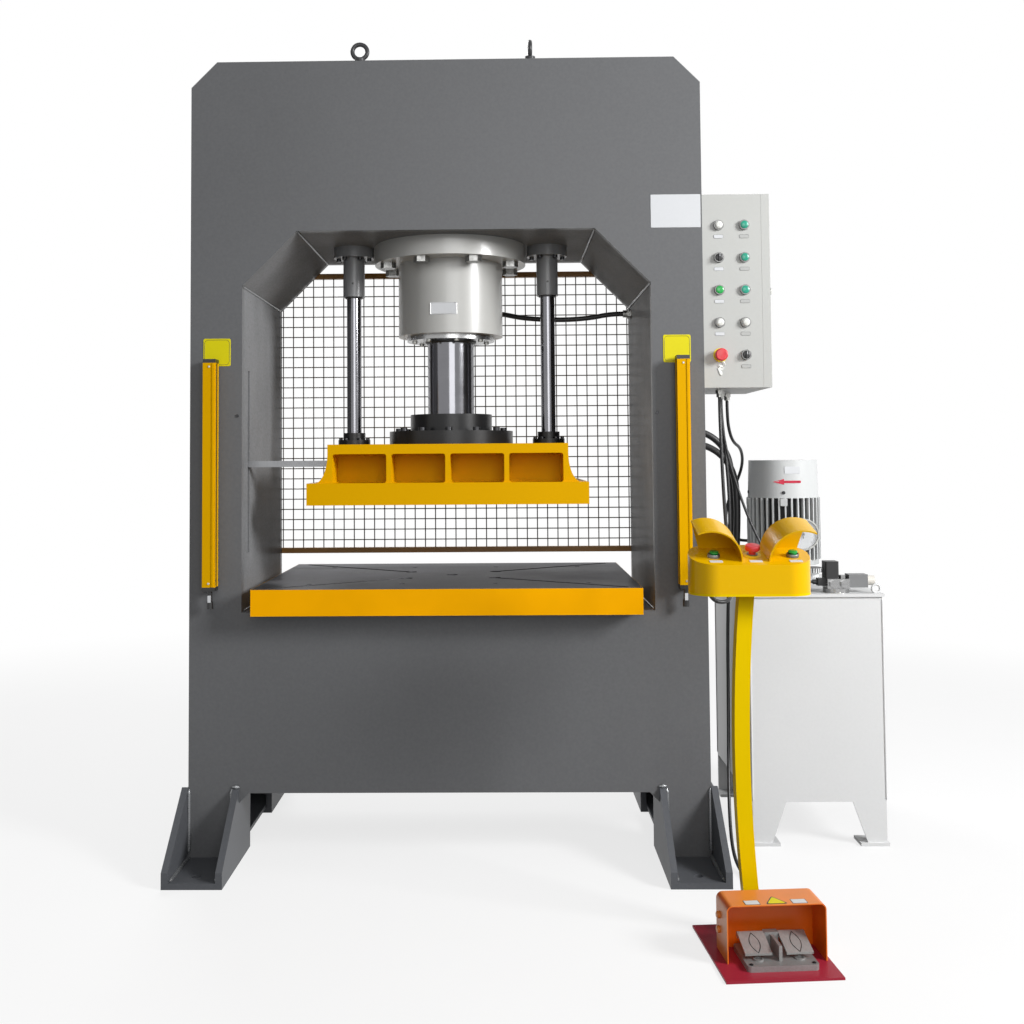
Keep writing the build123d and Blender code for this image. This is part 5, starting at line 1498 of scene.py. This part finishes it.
@dataclass
class FootPedal(SubAssembly):
    """Hooded double foot pedal on its red plate, which stands askew on the floor."""

    centre: float = 0.846
    hood_front: float = -1.042
    turn: float = math.radians(4.5)
    offset: float = 0.052
    pivot_behind: float = 0.058
    pivot_level: float = 0.052
    slope: float = math.radians(18.0)
    hood_half: float = 0.126
    hood_top: float = 0.146

    def build(self) -> None:
        """Dress the nodes and add grooves, bare plates, knobs and screws."""
        self.dress("hood", "pedal_guard")
        self.dress("cast", "pedal_base")
        self.dress("tread", "pedal_left", "pedal_right")
        side, _ = self.axes()
        for name, sign in (("left", -1.0), ("right", 1.0)):
            self.add(f"tread_lines_{name}", self.tread_lines(sign), "soft_black", f"pedal_{name}")
        spots = [self.at(across, 0.018, self.hood_top) for across in (-0.058, 0.062)]
        plates = [plate(spot, UP, (0.036, 0.024), 0.0008, 0.002, side) for spot in spots]
        self.add("hood_plates", plates, "label")
        rims = [plate(spot, UP, (0.039, 0.027), 0.0004, 0.002, side) for spot in spots]
        rims.append(self.triangle(1.22, 0.0004))
        self.add("hood_plate_rims", rims, "soft_black")
        self.add("hood_triangle", [self.triangle(1.0, 0.0009)], "sign")
        spots = [self.at(-self.hood_half, 0.072, level) for level in (0.098, 0.062)]
        self.add("hood_knobs", [turned(spot, -side, HOOD_KNOB, 16) for spot in spots], "orange")
        screws = [screw(self.at(across, -0.040, 0.020), UP, 0.005, 0.002) for across in (-0.078, 0.078)]
        self.add("shoe_screws", screws, "bolt")

    def axes(self) -> Tuple[np.ndarray, np.ndarray]:
        """Directions across the hood and straight back."""
        across = np.array([math.cos(self.turn), math.sin(self.turn), 0.0])
        return across, np.cross(UP, across)

    def at(self, across: float, behind: float, level: float) -> np.ndarray:
        """Point that far across and behind the middle of the hood's front edge."""
        side, back = self.axes()
        return np.array([self.centre, self.hood_front, level]) + across * side + behind * back

    def triangle(self, scale: float, thick: float) -> Shape:
        """Bare three-cornered plate: r(a) = in-radius / cos(a) to each side, with clipped corners."""
        side, back = self.axes()
        angle = full_turn(48)
        sector = (angle + math.pi / 6) % (2.0 * math.pi / 3) - math.pi / 3
        reach = scale * np.minimum(0.0135 / np.cos(sector), 0.0245)
        middle = self.at(0.003, 0.022, self.hood_top)
        ring = middle + (reach * np.cos(angle))[:, None] * side + (reach * np.sin(angle))[:, None] * back
        return loft(np.array([ring, ring + UP * thick]))

    def tread_lines(self, sign: float) -> List[Shape]:
        """Leaf-shaped line on each pedal: x = w sin(pi s), run down the slope by s."""
        side, back = self.axes()
        share = np.linspace(0.0, 1.0, 25)
        down = 0.004 + share * 0.070
        toward = -math.cos(self.slope) * back - math.sin(self.slope) * UP
        out = -math.sin(self.slope) * back + math.cos(self.slope) * UP
        origin = self.at(sign * self.offset, self.pivot_behind, self.pivot_level) + out * 0.0081
        shapes = []
        for bow in BOTH:
            path = origin + down[:, None] * toward + (bow * 0.0125 * np.sin(math.pi * share))[:, None] * side
            shapes.append(rod(path, 0.0009, 5))
        return shapes


class Lay(Enum):
    """How a cord lies."""

    HANGING = "hanging"


@dataclass(frozen=True)
class CordSpec:
    """One hose or cable: its node, route, diameter, length and finish."""

    node: str
    points: Tuple[Vec, ...]
    diameter: float
    length: float
    finish: str
    stiffness: str
    lay: Lay = Lay.HANGING


@dataclass
class Cords(SubAssembly):
    """Hoses and cables, each one smooth spline on its route."""

    specs: List[CordSpec] = field(default_factory=list)

    def build(self) -> None:
        """Make every cord."""
        for spec in self.specs:
            self.run(spec)

    def run(self, spec: CordSpec) -> bpy.types.Object:
        """Make one cord as a bevelled NURBS curve.

        Args:
            spec: what the cord is and where it runs.

        Returns:
            The curve object.
        """
        curve = bpy.data.curves.new(spec.node + "_line", "CURVE")
        curve.dimensions = "3D"
        curve.bevel_depth = spec.diameter / 2
        curve.bevel_resolution = 5
        curve.use_fill_caps = True
        spline = curve.splines.new("NURBS")
        spline.points.add(len(spec.points) - 1)
        weighted = np.concatenate([np.array(spec.points), np.ones((len(spec.points), 1))], 1)
        spline.points.foreach_set("co", weighted.ravel())
        spline.order_u = 3
        spline.use_endpoint_u = True
        spline.resolution_u = 10
        made = bpy.data.objects.new(spec.node + "_line", curve)
        bpy.context.scene.collection.objects.link(made)
        curve.materials.append(self.maker.finishes.get(spec.finish))
        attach(made, "frame")
        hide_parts(spec.node)
        LOG.info("cord %s", spec.node)
        return made


# Studio


@dataclass
class Studio:
    """Pale floor, soft lights, white surround and the camera."""

    eye: Vec = (0.17517, -3.93683, 1.26229)
    right: Vec = (0.99983933, 0.01637468, -0.00729301)
    rise: Vec = (0.00803421, -0.04566511, 0.9989245)
    back: Vec = (0.01602403, -0.99882259, -0.04578933)
    lens: float = 40.147
    shift: Tuple[float, float] = (0.0277, -0.1059)
    soft_light: float = 0.17
    floor_reach: Tuple[float, ...] = (3.0, 6.0, 12.0, 24.0)
    floor_sides: int = 48
    floor_level: float = -0.0005

    def build(self) -> None:
        """Make the whole set."""
        self.floor()
        self.surround()
        self.lamp("key", (4.8, -3.1, 3.2), (0.0, 0.0, 1.4), 1.6, 370.0)
        self.lamp("fill", (0.8, -6.0, 2.8), (0.2, 0.0, 1.2), 3.0, 95.0)
        self.lamp("rear", (-1.6, 4.2, 4.4), (0.0, 0.0, 1.2), 2.4, 150.0)
        self.camera()
        bpy.context.scene.view_settings.view_transform = "Standard"

    def camera(self) -> None:
        """Camera at the photograph's viewpoint."""
        data = bpy.data.cameras.new("view")
        data.sensor_fit = "HORIZONTAL"
        data.sensor_width = 36.0
        data.lens = self.lens
        data.shift_x, data.shift_y = self.shift
        data.clip_end = 60.0
        eye = bpy.data.objects.new("view", data)
        turn = Matrix((self.right, self.rise, self.back)).transposed().to_4x4()
        eye.matrix_world = Matrix.Translation(self.eye) @ turn
        bpy.context.scene.collection.objects.link(eye)
        bpy.context.scene.camera = eye

    def lamp(self, name: str, place: Vec, aim: Vec, size: float, power: float) -> None:
        """Add one soft square lamp.

        Args:
            name: the lamp's name.
            place: where it hangs.
            aim: the point that it faces.
            size: side of the square.
            power: watts.
        """
        data = bpy.data.lights.new(name, "AREA")
        data.size = size
        data.energy = power
        made = bpy.data.objects.new(name, data)
        side, up_, out = frame_of(np.array(place) - np.array(aim))
        turn = Matrix((side.tolist(), up_.tolist(), out.tolist())).transposed().to_4x4()
        made.matrix_world = Matrix.Translation(place) @ turn
        bpy.context.scene.collection.objects.link(made)

    def surround(self) -> None:
        """World that lights softly and looks white to the camera, to gloss and through glass."""
        world = bpy.data.worlds.new("surround")
        recipe = Recipe(world)
        recipe.put(Color=WHITE, Strength=self.soft_light)
        white = recipe.node("ShaderNodeBackground", inputs={"Color": WHITE, "Strength": 1.0})
        recipe.cover(recipe.white_rays(), white)
        bpy.context.scene.world = world

    def floor(self) -> None:
        """Round pale floor that fades into the white surround."""
        material = bpy.data.materials.new("studio_floor")
        recipe = Recipe(material)
        east, north, _ = recipe.axes()
        far = (east * east + north * north).fade(6.0, 26.0) * 0.24 + 0.76
        bounce = recipe.node("ShaderNodeLightPath", out="Is Diffuse Ray")
        pale = recipe.noise(3.0).blend(tone(236, 236, 237), tone(244, 244, 244))
        recipe.put(Roughness=0.75, Base_Color=bounce.blend(pale, tone(120, 120, 120)))
        glow = recipe.node("ShaderNodeEmission", inputs={"Strength": 1.0})
        recipe.cover(recipe.white_rays() * far, glow)
        ring, _ = spokes(UP, self.floor_sides)
        reach = np.array(self.floor_reach)
        vertices = np.concatenate([[np.zeros(3)], (reach[:, None, None] * ring).reshape(-1, 3)])
        vertices[:, 2] = self.floor_level
        number = 1 + np.arange(len(reach) * self.floor_sides).reshape(len(reach), -1)
        onward = np.roll(number, -1, 1)
        middle = np.stack([np.zeros_like(number[0]), number[0], onward[0]], -1)
        quads = np.stack([number[:-1], number[1:], onward[1:], onward[:-1]], -1).reshape(-1, 4)
        faces = [tuple(face) for face in middle.tolist() + quads.tolist()]
        mesh = bpy.data.meshes.new("studio_floor")
        mesh.from_pydata(vertices.tolist(), [], faces)
        mesh.materials.append(material)
        made = bpy.data.objects.new("studio_floor", mesh)
        bpy.context.scene.collection.objects.link(made)


def metres(*points: Vec) -> Tuple[Vec, ...]:
    """Route points in millimetres, as metres."""
    return tuple(tuple((np.array(point) / 1000.0).tolist()) for point in points)


CORDS = [
    CordSpec(
        "cylinder_hose",
        metres(
            (154.86, 154.86, 1774), (186.68, 186.68, 1774), (245, 218, 1765), (325, 236, 1760),
            (415, 245, 1759), (505, 249, 1766), (577, 250, 1780), (622, 250, 1780),
        ),
        0.018, 0.492, "rubber", "stiff",
    ),
    CordSpec(
        "pressure_hose",
        metres(
            (840, 175, 1300), (885, 175, 1300), (940, 174, 1277), (983, 171, 1234), (1006, 166, 1178),
            (1011, 159, 1085), (1007, 153, 985), (1000, 150, 876), (1000, 150, 831),
        ),
        0.024, 0.572, "rubber", "stiff",
    ),
    CordSpec(
        "return_hose",
        metres(
            (840, 235, 1350), (885, 235, 1350), (940, 236, 1327), (983, 239, 1284), (1006, 244, 1228),
            (1013, 251, 1130), (1010, 258, 1020), (1003, 261, 930), (1000, 262, 876), (1000, 262, 831),
        ),
        0.024, 0.622, "rubber", "stiff",
    ),
    CordSpec(
        "motor_cable",
        metres(
            (955, 30, 1448), (955, 30, 1403), (965, 60, 1350), (990, 115, 1305), (1035, 190, 1283),
            (1055, 262, 1225), (1035, 298, 1150), (1008, 304, 1095), (996, 303, 1035), (1000, 302, 988),
            (1018, 301, 958), (1049, 300, 944), (1083, 300, 944),
        ),
        0.011, 0.715, "jacket", "medium",
    ),
    CordSpec(
        "valve_cable",
        metres(
            (905, -120, 1448), (905, -120, 1403), (912, -118, 1330), (930, -113, 1240), (960, -111, 1140),
            (995, -114, 1040), (1038, -123, 945), (1080, -129, 882), (1118, -131, 852), (1161, -132, 840),
            (1195, -132, 840),
        ),
        0.009, 0.727, "jacket", "medium",
    ),
    CordSpec(
        "station_cable",
        metres(
            (740, -776, 915), (740, -754, 915), (741, -735, 908), (744, -722, 893), (750, -715, 873),
            (762, -711, 856), (780, -707, 848), (800, -697, 848), (819, -670, 856), (833, -610, 878),
            (846, -530, 915), (858, -440, 980), (867, -362, 1060), (874, -300, 1155), (880, -250, 1255),
            (884, -216, 1345), (885, -205, 1403), (885, -205, 1448),
        ),
        0.011, 0.982, "jacket", "medium",
    ),
    CordSpec(
        "pedal_cable",
        metres(
            (920, -45, 1448), (920, -45, 1403), (930, -48, 1290), (941, -56, 1130), (939, -62, 970),
            (931, -62, 810), (925, -66, 650), (922, -76, 490), (915, -106, 345), (904, -152, 215),
            (892, -218, 105), (882, -306, 34), (881, -400, 8), (890, -505, 8), (903, -620, 9),
            (911, -730, 16), (909, -800, 24), (901.53, -868.11, 36), (905.06, -912.97, 36),
        ),
        0.011, 2.099, "jacket", "medium",
    ),
]


def main() -> None:
    """Load the frame, dress each sub-assembly and set up the studio."""
    logging.basicConfig(level=logging.INFO, format="%(name)s: %(message)s")
    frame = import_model()
    maker = Maker(Finishes())
    nodes = frame["nodes"]
    Studio().build()
    Cords(maker, nodes, CORDS).build()
    for kind in (Portal, Ram, Curtains, ControlBox, PowerUnit, Station, FootPedal):
        kind(maker, nodes).build()
        LOG.info("built %s", kind.__name__)
    bare = [name for name, node in nodes.items() if not node.data.materials]
    LOG.info("nodes without a finish: %s", ", ".join(sorted(bare)) or "none")


if __name__ == "__main__":
    main()
